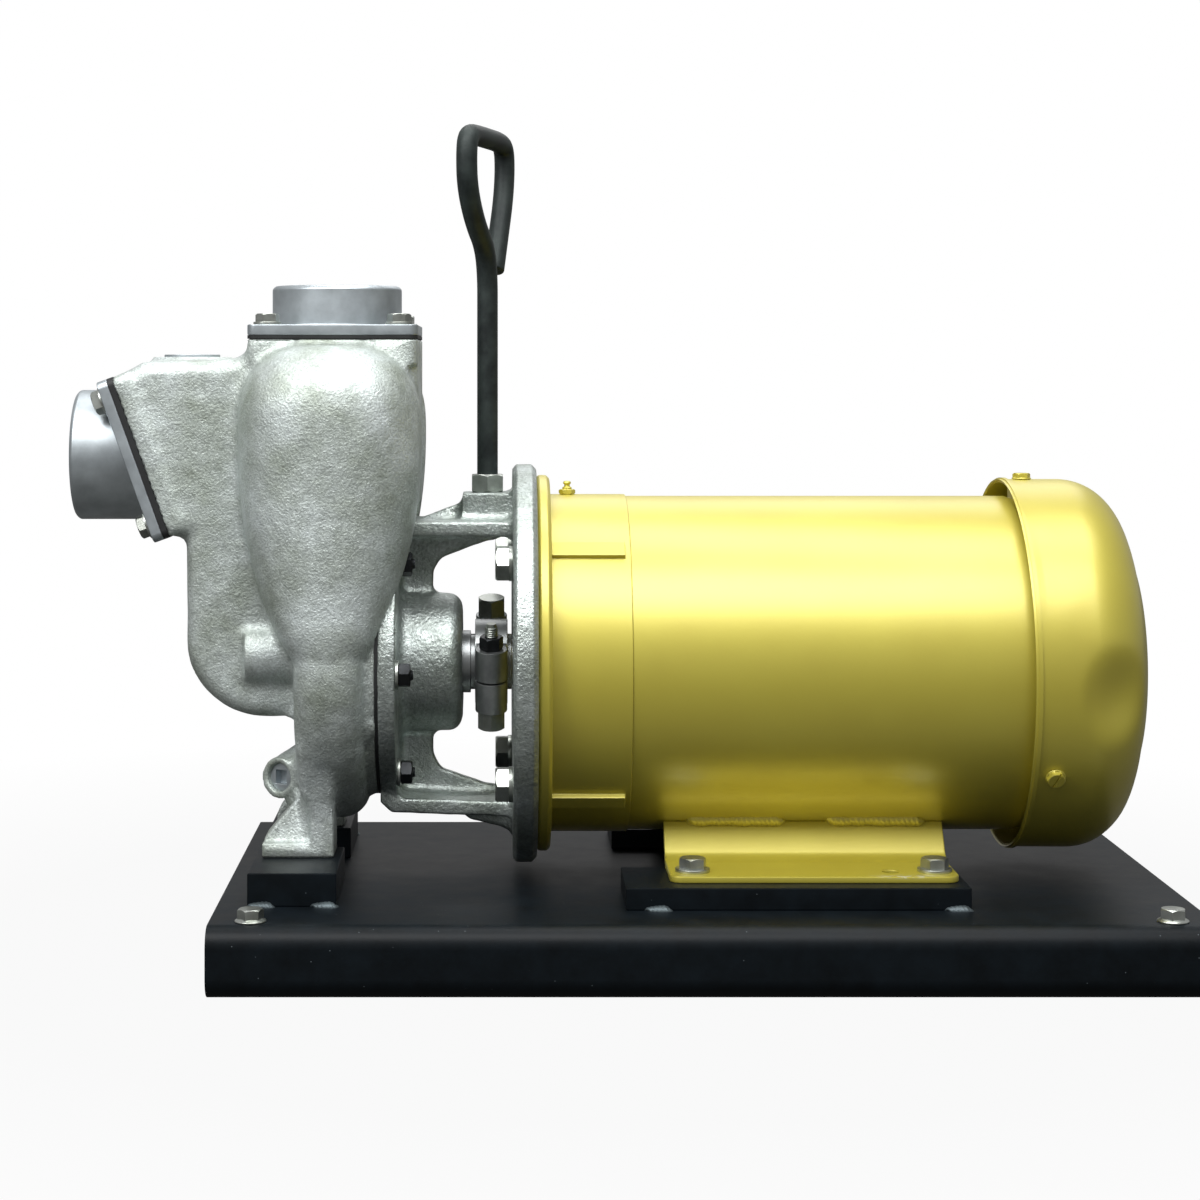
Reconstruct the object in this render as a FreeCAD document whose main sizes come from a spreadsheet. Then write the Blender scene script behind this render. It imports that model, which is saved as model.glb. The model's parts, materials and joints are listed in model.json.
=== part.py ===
import FreeCAD, Part
import math
import os
import re

import Sketcher

Vector = FreeCAD.Vector
Rotation = FreeCAD.Rotation

document = FreeCAD.newDocument("CentrifugalPump")
sizes = document.addObject("Spreadsheet::Sheet", "Sizes")
places = document.addObject("Spreadsheet::Sheet", "Places")
pieces = []
homeOf = {}


# Driving dimensions in millimetres and degrees.
# X is measured from the motor's mounting face, Z from the shaft axis, unless a comment says otherwise.
DRIVING = {
    # Base: one formed sheet, open below, with welded pads
    "base_length": 558.8,
    "base_width": 342.9,
    "base_height": 40.0,
    "base_wall": 4.8,
    "base_bend": 12.0,
    "base_lip": 28.0,
    "base_start": -184.15,
    "base_bolt_inset_x": 23.8,
    "base_bolt_inset_y": 19.05,
    "motor_pad_thickness": 12.7,
    "motor_pad_start": 49.0,
    "motor_pad_length": 196.0,
    "motor_pad_inner": 62.0,
    "motor_pad_width": 62.0,
    "pump_pad_length": 51.0,
    "pump_pad_inner": 32.0,
    "pump_pad_width": 82.0,
    "base_bolt_radius": 3.95,
    "base_bolt_head": 5.5,
    "base_bolt_flange": 1.8,
    "base_bolt_reach": 22.0,
    # Motor shell and mounting face
    "motor_foot_height": 114.3,
    "face_radius": 114.3,
    "face_thickness": 8.0,
    "rabbet_radius": 107.95,
    "rabbet_height": 6.35,
    "face_bolt_radius": 92.07,
    "endbell_radius": 102.6,
    "endbell_length": 54.5,
    "ridge_width": 10.5,
    "ridge_height": 3.0,
    "ridge_reach": 43.0,
    "shell_radius": 101.5,
    "shell_wall": 4.0,
    "shell_length": 233.0,
    "rear_bell_radius": 100.0,
    "rear_bell_length": 24.0,
    "bell_wall": 7.0,
    "cover_radius": 112.0,
    "cover_wall": 2.0,
    "cover_start": 284.0,
    "cover_length": 76.0,
    "cover_corner": 34.0,
    "cover_dome": 6.0,
    "cover_screw_x": 298.0,
    "intake_inner": 24.0,
    "intake_outer": 66.0,
    "intake_slot": 7.0,
    "intake_count": 16,
    "grease_x": 19.0,
    "grease_radius": 3.0,
    "cover_screw": 2.4,
    "cover_screw_flats": 9.5,
    # Motor inside
    "core_start": 92.0,
    "core_length": 138.0,
    "core_bore": 60.0,
    "winding_length": 24.0,
    "winding_inner": 64.0,
    "winding_outer": 90.0,
    "air_gap": 0.5,
    "rotor_shaft_radius": 19.0,
    "drive_bearing_bore": 15.0,
    "drive_bearing_radius": 31.0,
    "drive_bearing_width": 16.0,
    "drive_bearing_start": 16.0,
    "rear_bearing_bore": 12.5,
    "rear_bearing_radius": 26.0,
    "rear_bearing_width": 15.0,
    "race_wall": 4.5,
    "ball_count": 9,
    "fan_radius": 86.0,
    "fan_hub_radius": 20.0,
    "fan_hub_length": 24.0,
    "fan_bore": 11.0,
    "fan_disc": 3.0,
    "fan_blade_height": 19.0,
    "fan_blade_thickness": 3.0,
    "fan_blade_count": 8,
    "fan_gap": 9.0,
    # Motor feet and conduit box
    "foot_sheet": 4.0,
    "foot_start": 75.0,
    "foot_length": 166.0,
    "foot_outer": 111.0,
    "foot_bend_y": 66.0,
    "foot_wall_y": 47.0,
    "foot_wall_rise": 24.0,
    "foot_bolt_x": 88.9,
    "foot_bolt_pitch": 139.7,
    "foot_bolt_y": 95.25,
    "conduit_start": 106.0,
    "conduit_length": 104.0,
    "conduit_height": 96.0,
    "conduit_bottom": -44.0,
    "conduit_reach": 160.0,
    "conduit_wall": 2.5,
    "conduit_lid": 3.0,
    "conduit_inlet": 14.0,
    "conduit_inlet_y": 130.0,
    "conduit_inlet_z": -18.0,
    "foot_bolt_shank": 4.76,
    "foot_bolt_flats": 14.3,
    "foot_bolt_head": 6.0,
    "foot_washer": 2.0,
    "foot_spare": 114.3,
    "conduit_inner": 84.0,
    "conduit_screw": 2.1,
    # Shaft train
    "shaft_radius": 14.2875,
    "shaft_reach": 66.7,
    "sleeve_radius": 17.0,
    "sleeve_gap": 0.05,
    "sleeve_end": -15.0,
    "sleeve_shoulder": -40.0,
    "shoulder_radius": 19.0,
    "shoulder_start": -74.0,
    "seal_radius": 14.3,
    "impeller_seat_radius": 9.5,
    "impeller_seat_end": -100.0,
    "key_width": 6.35,
    "clamp_width": 19.8,
    "clamp_centre": -27.4,
    "clamp_radius": 26.0,
    "clamp_ear_radius": 9.65,
    "clamp_ear_height": 19.0,
    "clamp_ear_offset": 32.0,
    "clamp_split": 1.0,
    "clamp_turn": 13.5,
    "clamp_bolt_radius": 3.95,
    "clamp_head_flats": 16.0,
    "clamp_head_height": 11.0,
    "clamp_nut_flats": 12.7,
    "clamp_nut_height": 8.0,
    "clamp_stud_reach": 8.0,
    # Bracket
    "bracket_flange_radius": 121.0,
    "bracket_flange_thickness": 14.5,
    "bracket_window_radius": 52.0,
    "pump_flange_radius": 80.0,
    "pump_flange_start": -94.0,
    "pump_flange_thickness": 10.5,
    "gasket_thickness": 1.5,
    "hub_radius": 42.0,
    "hub_end": -45.0,
    "hub_round": 9.0,
    "hub_bore": 22.0,
    "spigot_radius": 65.8,
    "spigot_reach": 2.5,
    "arm_outer": 87.5,
    "arm_thickness": 9.0,
    "arm_half_width": 33.0,
    "lower_arm_drop": 2.5,
    "web_thickness": 8.0,
    "web_edge": -63.0,
    "web_corner": 18.0,
    "web_tip": -19.0,
    "boss_start": -45.0,
    "boss_half_width": 15.5,
    "boss_top": 104.0,
    "heel_depth": 105.0,
    # Joint between bracket and casing
    "stud_circle": 72.0,
    "stud_radius": 3.95,
    "stud_tip": 3.5,
    "nut_flats": 12.9,
    "nut_height": 7.0,
    "washer_thickness": 1.8,
    "washer_radius": 8.6,
    "bore_clearance": 0.15,
    "stud_thread": 12.0,
    # Bolts between bracket and motor
    "face_bolt_shank": 6.35,
    "face_bolt_flats": 19.0,
    "face_bolt_head": 8.0,
    "lock_washer": 2.5,
    "lock_washer_radius": 10.5,
    "face_bolt_depth": 12.0,
    "face_plate": 18.0,
    # Handle
    "rod_radius": 6.35,
    "handle_x": -29.8,
    "handle_eye_bottom": 243.0,
    "handle_eye_top": 321.0,
    "handle_eye_half": 38.0,
    "handle_turn": 15.6,
    "handle_corner": 12.0,
    "handle_nut_flats": 19.0,
    "handle_nut_height": 11.0,
    "handle_seat": 12.0,
    # Casing
    "casing_half_width": 48.5,
    "casing_round": 9.0,
    "casing_wall": 7.5,
    "discharge_x": -122.0,
    "discharge_face": 197.6,
    "lobe_shift": 1.5,
    "lobe_half_width": 54.6,
    "lobe_wide_z": 143.0,
    "lobe_top": 195.0,
    "lobe_front": 95.0,
    "lobe_depth": 49.0,
    "lobe_extra_wall": 3.0,
    "neck_z": 5.0,
    "neck_half_width": 21.5,
    "neck_depth": 24.0,
    "chamber_left": -209.5,
    "chamber_bottom": -28.0,
    "chamber_corner": 46.0,
    "chamber_step": 79.0,
    "chamber_rear": -71.0,
    "chamber_taper": 98.0,
    "relief_gap": 2.0,
    "fill_x": -211.0,
    "fill_boss_radius": 24.5,
    "fill_top": 186.8,
    "fill_plug_radius": 17.0,
    "fill_plug_depth": 14.0,
    "plug_socket": 12.7,
    "plug_socket_depth": 9.0,
    "volute_radius": 94.0,
    "volute_start": -143.0,
    "volute_end": -101.0,
    "volute_round": 17.0,
    "volute_cavity": 84.0,
    "casing_ring_radius": 80.0,
    "casing_mouth": 66.0,
    "side_ridge_radius": 17.0,
    "side_ridge_z": 9.0,
    "side_ridge_start": -174.0,
    "drain_radius": 12.5,
    "drain_bore": 8.2,
    "drain_x": -154.5,
    "drain_y": -47.0,
    "drain_z": -64.0,
    "drain_turn": 34.0,
    "drain_plug_inset": 3.0,
    "drain_plug_length": 16.0,
    # Pump feet
    "pump_foot_height": 107.95,
    "pump_foot_start": -162.0,
    "pump_foot_end": -120.0,
    "pump_foot_plate": 8.8,
    "pump_foot_outer": 68.0,
    "pump_foot_inner": 36.0,
    "pump_foot_rim": 14.0,
    "pump_foot_gusset": 73.0,
    "pump_foot_recess": 4.0,
    "pump_foot_bolt_radius": 6.35,
    "pump_foot_bolt_y": 52.0,
    "pump_foot_thread": 18.0,
    "pump_foot_bolt_x": -131.0,
    # Port flanges
    "port_half": 50.8,
    "port_corner": 5.0,
    "port_plate": 6.5,
    "port_gasket": 2.0,
    "port_bore": 28.5,
    "collar_radius": 39.6,
    "collar_height": 24.0,
    "port_bolt_place": 39.4,
    "port_bolt_radius": 3.95,
    "port_bolt_flats": 12.7,
    "port_bolt_head": 5.0,
    "port_washer": 1.6,
    "port_thread": 8.0,
    # Suction face and check valve
    "suction_tilt": 20.0,
    "suction_z": 127.0,
    "suction_face_x": -236.0,
    "suction_reach": 280.8,
    "port_depth": 30.0,
    "valve_sheet": 3.6,
    "valve_window": 34.0,
    "valve_seat": 26.0,
    "flap_radius": 31.0,
    "flap_sheet": 3.0,
    "flap_gap": 0.3,
    "flap_screw": 3.0,
    "flap_fit": 0.1,
    "flap_tab": 14.0,
    "flap_hinge": 36.0,
    "weight_outer": 19.0,
    "weight_inner": 25.0,
    "weight_thickness": 3.0,
    "valve_opening": 40.0,
    # Impeller and seal
    "impeller_radius": 62.0,
    "impeller_front": -124.0,
    "impeller_back": -101.0,
    "impeller_shroud": 4.5,
    "impeller_hub_radius": 17.0,
    "impeller_eye": 27.0,
    "vane_count": 6,
    "vane_thickness": 4.0,
    "vane_gap": 0.6,
    "vane_arc": 45.0,
    "vane_centre": 33.0,
    "impeller_nose": -130.0,
    "impeller_washer": 2.0,
    "seal_cavity_radius": 23.5,
    "key_length": 22.0,
    "impeller_nut_flats": 22.0,
    "impeller_nut_height": 10.0,
    "seat_face": -84.0,
    "seat_thickness": 8.0,
    "seat_radius": 25.0,
    "seal_head_length": 6.0,
    "spring_radius": 18.5,
    "spring_wire": 1.0,
    "spring_turns": 3,
}

# Places worked out from the driving dimensions
DERIVED = {
    "axis_z": "base_height + motor_pad_thickness + motor_foot_height",
    "cover_end": "cover_start + cover_length",
    "base_end": "base_start + base_length",
    "face_x": "(suction_reach - base_end) / 2",
    "base_top": "-motor_foot_height - motor_pad_thickness",
    "base_floor": "base_top - base_height",
    "pump_pad_thickness": "motor_foot_height + motor_pad_thickness - pump_foot_height",
    "pump_pad_start": "(pump_foot_start + pump_foot_end - pump_pad_length) / 2",
    "shell_end": "endbell_length + shell_length",
    "rear_bell_end": "shell_end + rear_bell_length",
    "drive_bearing_end": "drive_bearing_start + drive_bearing_width",
    "rear_bearing_start": "rear_bell_end - rear_bearing_width - 2",
    "fan_start": "rear_bell_end + fan_gap",
    "casing_face": "pump_flange_start - gasket_thickness",
    "hub_start": "pump_flange_start + pump_flange_thickness",
    "boss_end": "-bracket_flange_thickness + 0.5",
    "flange_left": "discharge_x - port_half",
    "face_bolt_offset": "face_bolt_radius * cos(45)",
    "base_bolt_y": "base_width / 2 - base_bolt_inset_y",
    "collar_length": "suction_reach + suction_face_x",
    "stub_end": "impeller_nose - impeller_washer - impeller_nut_height - 2",
    "flap_low": "valve_sheet - flap_sheet - flap_gap",
    "impeller_depth": "impeller_back - impeller_shroud / 2 - impeller_front",
    "key_bottom": "shaft_radius - key_width / 2",
    "seal_spring_end": "seat_face - sleeve_gap * 2 - seal_head_length",
    "rear_bearing_end": "rear_bearing_start + rear_bearing_width",
}


def formula(text):
    def home(match):
        word = match.group()
        return f"{homeOf[word]}.{word}" if word in homeOf else word
    return re.sub(r"[a-z][a-z_]*", home, text)


def fillSheets():
    for row, (alias, number) in enumerate(DRIVING.items(), 1):
        sizes.set(f"A{row}", alias)
        sizes.set(f"B{row}", str(number))
        sizes.setAlias(f"B{row}", alias)
        homeOf[alias] = "Sizes"
    for row, (alias, text) in enumerate(DERIVED.items(), 1):
        places.set(f"A{row}", alias)
        places.set(f"B{row}", "=" + formula(text))
        places.setAlias(f"B{row}", alias)
        homeOf[alias] = "Places"
    document.recompute()


fillSheets()


def size(text):
    return float(places.evalExpression(formula(text)))


# Small tools for features whose sizes are formulas of the sheets

def bind(feature, **formulas):
    for name, text in formulas.items():
        feature.setExpression(name.replace("__", "."), formula(text))
    return feature


def moved(feature, x="0", y="0", z="0"):
    for axis, text in (("x", x), ("y", y), ("z", z)):
        feature.setExpression(f"Placement.Base.{axis}", formula(text))
    return feature


def around(count, make, start=0):
    return [make(start + index * 360 / count) for index in range(count)]


TURNS = {
    "x": Rotation(Vector(0, 1, 0), 90),
    "-x": Rotation(Vector(0, 1, 0), -90),
    "y": Rotation(Vector(1, 0, 0), -90),
    "-y": Rotation(Vector(1, 0, 0), 90),
    "z": Rotation(),
    "-z": Rotation(Vector(1, 0, 0), 180),
}


def rod(axis, radius, length, x="0", y="0", z="0"):
    feature = document.addObject("Part::Cylinder", "Rod")
    feature.Placement = FreeCAD.Placement(Vector(), TURNS[axis])
    bind(feature, Radius=radius, Height=length)
    return moved(feature, x, y, z)


def cone(axis, radius, tip, length, x="0", y="0", z="0"):
    feature = document.addObject("Part::Cone", "Cone")
    feature.Placement = FreeCAD.Placement(Vector(), TURNS[axis])
    bind(feature, Radius1=radius, Radius2=tip, Height=length)
    return moved(feature, x, y, z)


def ring(axis, outer, inner, length, x="0", y="0", z="0"):
    return cut(rod(axis, outer, length, x, y, z), rod(axis, inner, length, x, y, z))


def hexagon(axis, flats, length, x="0", y="0", z="0"):
    feature = document.addObject("Part::Prism", "Hexagon")
    feature.Polygon = 6
    feature.Placement = FreeCAD.Placement(Vector(), TURNS[axis])
    bind(feature, Circumradius=f"({flats}) / sqrt(3)", Height=length)
    return moved(feature, x, y, z)


def block(x, y, z, length, width, height):
    feature = document.addObject("Part::Box", "Block")
    bind(feature, Length=length, Width=width, Height=height)
    return moved(feature, x, y, z)


def fuse(*features):
    fused = document.addObject("Part::MultiFuse", "Fuse")
    fused.Shapes = list(features)
    return fused


def joined(first, *others):
    for other in others:
        first = fuse(first, other)
        first.Refine = False
    return first


def common(*features):
    shared = document.addObject("Part::MultiCommon", "Common")
    shared.Shapes = list(features)
    return shared


def cut(base, *tools):
    for tool in tools:
        left = document.addObject("Part::Cut", "Cut")
        left.Base = base
        left.Tool = tool
        left.Refine = False
        base = left
    return base


def group(*features):
    together = document.addObject("Part::Compound", "Group")
    together.Links = list(features)
    return together


def mirrored(feature):
    other = document.addObject("Part::Mirroring", "Mirror")
    other.Source = feature
    other.Normal = Vector(0, 1, 0)
    return other


def turned(feature, axis, degrees, x="0", y="0", z="0"):
    holder = group(feature)
    holder.Placement = FreeCAD.Placement(Vector(), Rotation(Vector(*axis), 90))
    holder.setExpression("Placement.Rotation.Angle", f"({formula(degrees)}) * 1deg")
    return moved(holder, x, y, z)


def piece(name, *features):
    whole = document.addObject("Part::Compound", name)
    whole.Links = list(features)
    whole.Label = name
    moved(whole, "face_x", "0", "axis_z")
    pieces.append(whole)
    return whole


def originPlane(body, role):
    return [part for part in body.Origin.OriginFeatures if part.Role == role][0]


def outline(body, role, points):
    sketch = body.newObject("Sketcher::SketchObject", "Outline")
    sketch.AttachmentSupport = (originPlane(body, role), [""])
    sketch.MapMode = "FlatFace"
    values = [[size(text) for text in point] for point in points]
    count = len(points)
    for index in range(count):
        start = Vector(*values[index], 0)
        end = Vector(*values[(index + 1) % count], 0)
        sketch.addGeometry(Part.LineSegment(start, end), False)
    for index in range(count):
        sketch.addConstraint(Sketcher.Constraint("Coincident", index, 2, (index + 1) % count, 1))
    for index, point in enumerate(points):
        for kind, text, number in zip(("DistanceX", "DistanceY"), point, values[index]):
            row = sketch.addConstraint(Sketcher.Constraint(kind, -1, 1, index, 1, number))
            sketch.setExpression(f"Constraints[{row}]", formula(text))
    return sketch


def newBody():
    return document.addObject("PartDesign::Body", "Body")


def revolved(*points, axis="H_Axis"):
    body = newBody()
    sketch = outline(body, "XZ_Plane", points)
    turn = body.newObject("PartDesign::Revolution", "Revolution")
    turn.Profile = sketch
    turn.ReferenceAxis = (sketch, [axis])
    turn.Angle = 360
    return body


def padded(role, thickness, *points):
    body = newBody()
    sketch = outline(body, role, points)
    pad = body.newObject("PartDesign::Pad", "Pad")
    pad.Profile = sketch
    pad.Midplane = True
    bind(pad, Length=thickness)
    return body


def solid(name, shape):
    feature = document.addObject("Part::Feature", name)
    feature.Shape = shape
    return feature


def rounded(body, radius, test):
    document.recompute()
    base = body.Tip
    chosen = [f"Edge{i}" for i, edge in enumerate(base.Shape.Edges, 1) if test(edge)]
    fillet = body.newObject("PartDesign::Fillet", "Fillet")
    fillet.Base = (base, chosen)
    bind(fillet, Radius=radius)
    return body


# Fasteners stand on the plane z = 0 of their own group, head upwards and shank downwards

def hexBolt(flats, head, shank, reach):
    return fuse(hexagon("z", flats, head), rod("-z", shank, reach))


def acrossY(feature):
    return [feature, mirrored(feature)]


# Casing: the lobes are lofted, with a dome above the widest level and a slow taper below it

LOBE_DOME = (0.97, 0.9, 0.78, 0.6, 0.35)
LOBE_TAPER = (1.0, 0.82, 0.64, 0.48, 0.34, 0.22, 0.12, 0.0)
ROOT_STEPS = (20.0, 45.0, 67.0)


def lobeLevel(z):
    wide, neck = size("lobe_half_width"), size("neck_half_width")
    depth, neckDepth = size("lobe_depth"), size("neck_depth")
    front = size("lobe_front")
    middle = size("discharge_x - lobe_shift")
    neckMiddle = size("(volute_start + volute_end) / 2")
    wideZ, neckZ, topZ = size("lobe_wide_z"), size("neck_z"), size("lobe_top")
    if z > wideZ:
        dome = (1 - ((z - wideZ) / (topZ - wideZ)) ** 2.5) ** 0.4
        return middle - wide * dome, middle + wide * dome, depth * dome, front - depth
    if z > neckZ:
        rise = 1 - (1 - (z - neckZ) / (wideZ - neckZ)) ** 2.3
        half = neck + (wide - neck) * rise
        middle = neckMiddle + (middle - neckMiddle) * min(1, 2 * rise)
        deep = neckDepth + (depth - neckDepth) * rise
        return middle - half, middle + half, deep, front - deep
    reach = math.sqrt((size("volute_radius") - 1) ** 2 - z * z)
    return neckMiddle - neck + 1, neckMiddle + neck - 1, neckDepth, reach - neckDepth


def lobeSection(z, inset):
    left, right, depth, root = lobeLevel(z)
    left, right, depth = left + inset, right - inset, max(depth - inset, 1)
    middle, half = (left + right) / 2, (right - left) / 2
    inner = size("pump_foot_inner + 1.3")
    curve = []
    for step in range(13):
        angle = math.pi * step / 12
        x = middle - half * math.copysign(abs(math.cos(angle)) ** 0.84, math.cos(angle))
        curve.append(Vector(x, -root - depth * math.sin(angle) ** 0.84, z))
    front = Part.BSplineCurve()
    front.interpolate(curve)
    corners = [curve[-1], Vector(right, -inner, z), Vector(left, -inner, z), curve[0]]
    sides = [Part.LineSegment(*pair).toShape() for pair in zip(corners, corners[1:])]
    return Part.Wire([front.toShape()] + sides)


def lobe(name, inset, levels):
    return solid(name, Part.makeLoft([lobeSection(z, inset) for z in levels], True, False))


def lobeLevels(bottom, inset):
    wideZ, neckZ, topZ = size("lobe_wide_z"), size("neck_z"), size("lobe_top")
    levels = [neckZ - step for step in reversed(ROOT_STEPS)]
    levels += [neckZ + (wideZ - neckZ) * step for step in reversed(LOBE_TAPER)]
    levels += [wideZ + (topZ - wideZ) * step for step in reversed(LOBE_DOME)]
    return [z for z in levels if bottom <= z <= topZ - inset]


def casingBlock():
    body = padded(
        "XZ_Plane", "2 * casing_half_width",
        ("flange_left + 1", "discharge_face - port_plate"),
        ("chamber_rear", "discharge_face - port_plate"),
        ("chamber_rear", "chamber_taper"),
        ("volute_end - 4", "arm_outer + relief_gap"),
        ("volute_end - 4", "chamber_bottom"),
        ("chamber_left", "chamber_bottom"),
        ("chamber_left", "chamber_step"),
        ("suction_face_x + port_half * sin(suction_tilt)", "suction_z - port_half * cos(suction_tilt)"),
        ("suction_face_x - port_half * sin(suction_tilt)", "suction_z + port_half * cos(suction_tilt)"),
        ("suction_face_x", "fill_top - 3"),
        ("flange_left - 7", "fill_top - 1"),
    )
    left, bottom = size("chamber_left"), size("chamber_bottom")
    half = size("casing_half_width")
    rounded(body, "chamber_corner", lambda e: isAcross(e, left, bottom))
    return rounded(body, "casing_round", lambda e: liesAt(e, "y", half) or liesAt(e, "y", -half))


def isAcross(edge, x, z):
    box = edge.BoundBox
    near = abs(box.XMin - x) + abs(box.XMax - x) + abs(box.ZMin - z) + abs(box.ZMax - z)
    return near < 0.01


def liesAt(edge, axis, place):
    box = edge.BoundBox
    low, high = {"x": (box.XMin, box.XMax), "y": (box.YMin, box.YMax), "z": (box.ZMin, box.ZMax)}[axis]
    return abs(low - place) < 0.01 and abs(high - place) < 0.01


def onSuctionFace(*features):
    holder = group(*features)
    return turned(holder, (0, -1, 0), "90 + suction_tilt", "suction_face_x", "0", "suction_z")


def portPlate(start, thickness):
    body = newBody()
    sketch = outline(body, "XY_Plane", [
        ("-port_half", "-port_half"), ("port_half", "-port_half"),
        ("port_half", "port_half"), ("-port_half", "port_half"),
    ])
    pad = body.newObject("PartDesign::Pad", "Pad")
    pad.Profile = sketch
    bind(pad, Length=thickness)
    rounded(body, "port_corner", lambda e: abs(e.BoundBox.ZLength - size(thickness)) < 0.01)
    return moved(body, "0", "0", start)


def portBoltPlaces():
    return [(x, y) for x in ("-port_bolt_place", "port_bolt_place")
            for y in ("-port_bolt_place", "port_bolt_place")]


def portHoles(start, length):
    return [rod("z", "port_bolt_radius + bore_clearance", length, x, y, start)
            for x, y in portBoltPlaces()]


def studPlaces():
    return [(f"stud_circle * cos({angle})", f"stud_circle * sin({angle})") for angle in range(0, 360, 60)]


def studHoles(start, length):
    return [rod("x", "stud_radius + bore_clearance", length, start, y, z) for y, z in studPlaces()]


def pumpFoot():
    plate = block("pump_foot_start", "-pump_foot_outer", "-pump_foot_height",
                  "pump_foot_end - pump_foot_start", "pump_foot_outer - pump_foot_inner", "pump_foot_plate")
    strip = block("pump_foot_end - pump_foot_rim", "-pump_foot_outer", "-pump_foot_height",
                  "pump_foot_rim", "pump_foot_outer - pump_foot_inner", "pump_foot_height - 55")
    gusset = newBody()
    sketch = outline(gusset, "XZ_Plane", [
        ("pump_foot_end - 2", "-pump_foot_height + 2"),
        ("pump_foot_start + 1", "-pump_foot_height + 2"),
        ("pump_foot_start + 1", "-pump_foot_height + pump_foot_plate + 2"),
        ("pump_foot_end - 1.5 * pump_foot_rim", "-pump_foot_gusset"),
        ("pump_foot_end - 2", "-pump_foot_gusset"),
    ])
    pad = gusset.newObject("PartDesign::Pad", "Pad")
    pad.Profile = sketch
    bind(pad, Length="pump_foot_outer - pump_foot_recess - pump_foot_inner")
    moved(gusset, "0", "-pump_foot_inner", "0")
    return fuse(plate, strip, gusset)


def sideRidge():
    return rod("x", "side_ridge_radius", "volute_start - side_ridge_start + 20",
               "side_ridge_start", "-casing_half_width + 6", "side_ridge_z")


def drainAxis(*features):
    standing = turned(fuse(*features) if len(features) > 1 else features[0], (1, 0, 0), "90")
    return turned(standing, (0, 0, -1), "drain_turn", "drain_x", "drain_y", "drain_z")


def casing():
    near = fuse(lobe("Lobe", 0, lobeLevels(-1000, 0)), sideRidge())
    foot = pumpFoot()
    volute = revolved(
        ("volute_start", "0"), ("volute_start", "volute_radius"),
        ("volute_end", "volute_radius"), ("volute_end", "0"),
    )
    radius = size("volute_radius")
    rounded(volute, "volute_round", lambda e: abs(e.BoundBox.ZMax - radius) < 0.01 and e.BoundBox.XLength < 0.01)
    drain = drainAxis(rod("-z", "drain_radius", "34"), cone("-z", "drain_radius - 1", "drain_radius + 7", "34"))
    outside = joined(
        casingBlock(), volute, near, mirrored(near), foot, mirrored(foot),
        rod("x", "casing_ring_radius", "casing_face - volute_end + 4", "volute_end - 4"),
        moved(portPlate("0", "16"), "discharge_x", "0", "discharge_face - 16"),
        onSuctionFace(portPlate("-9", "9")),
        rod("z", "fill_boss_radius", "26", "fill_x", "0", "fill_top - 26"),
        drain,
    )
    return cut(outside, *casingHollows())


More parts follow.
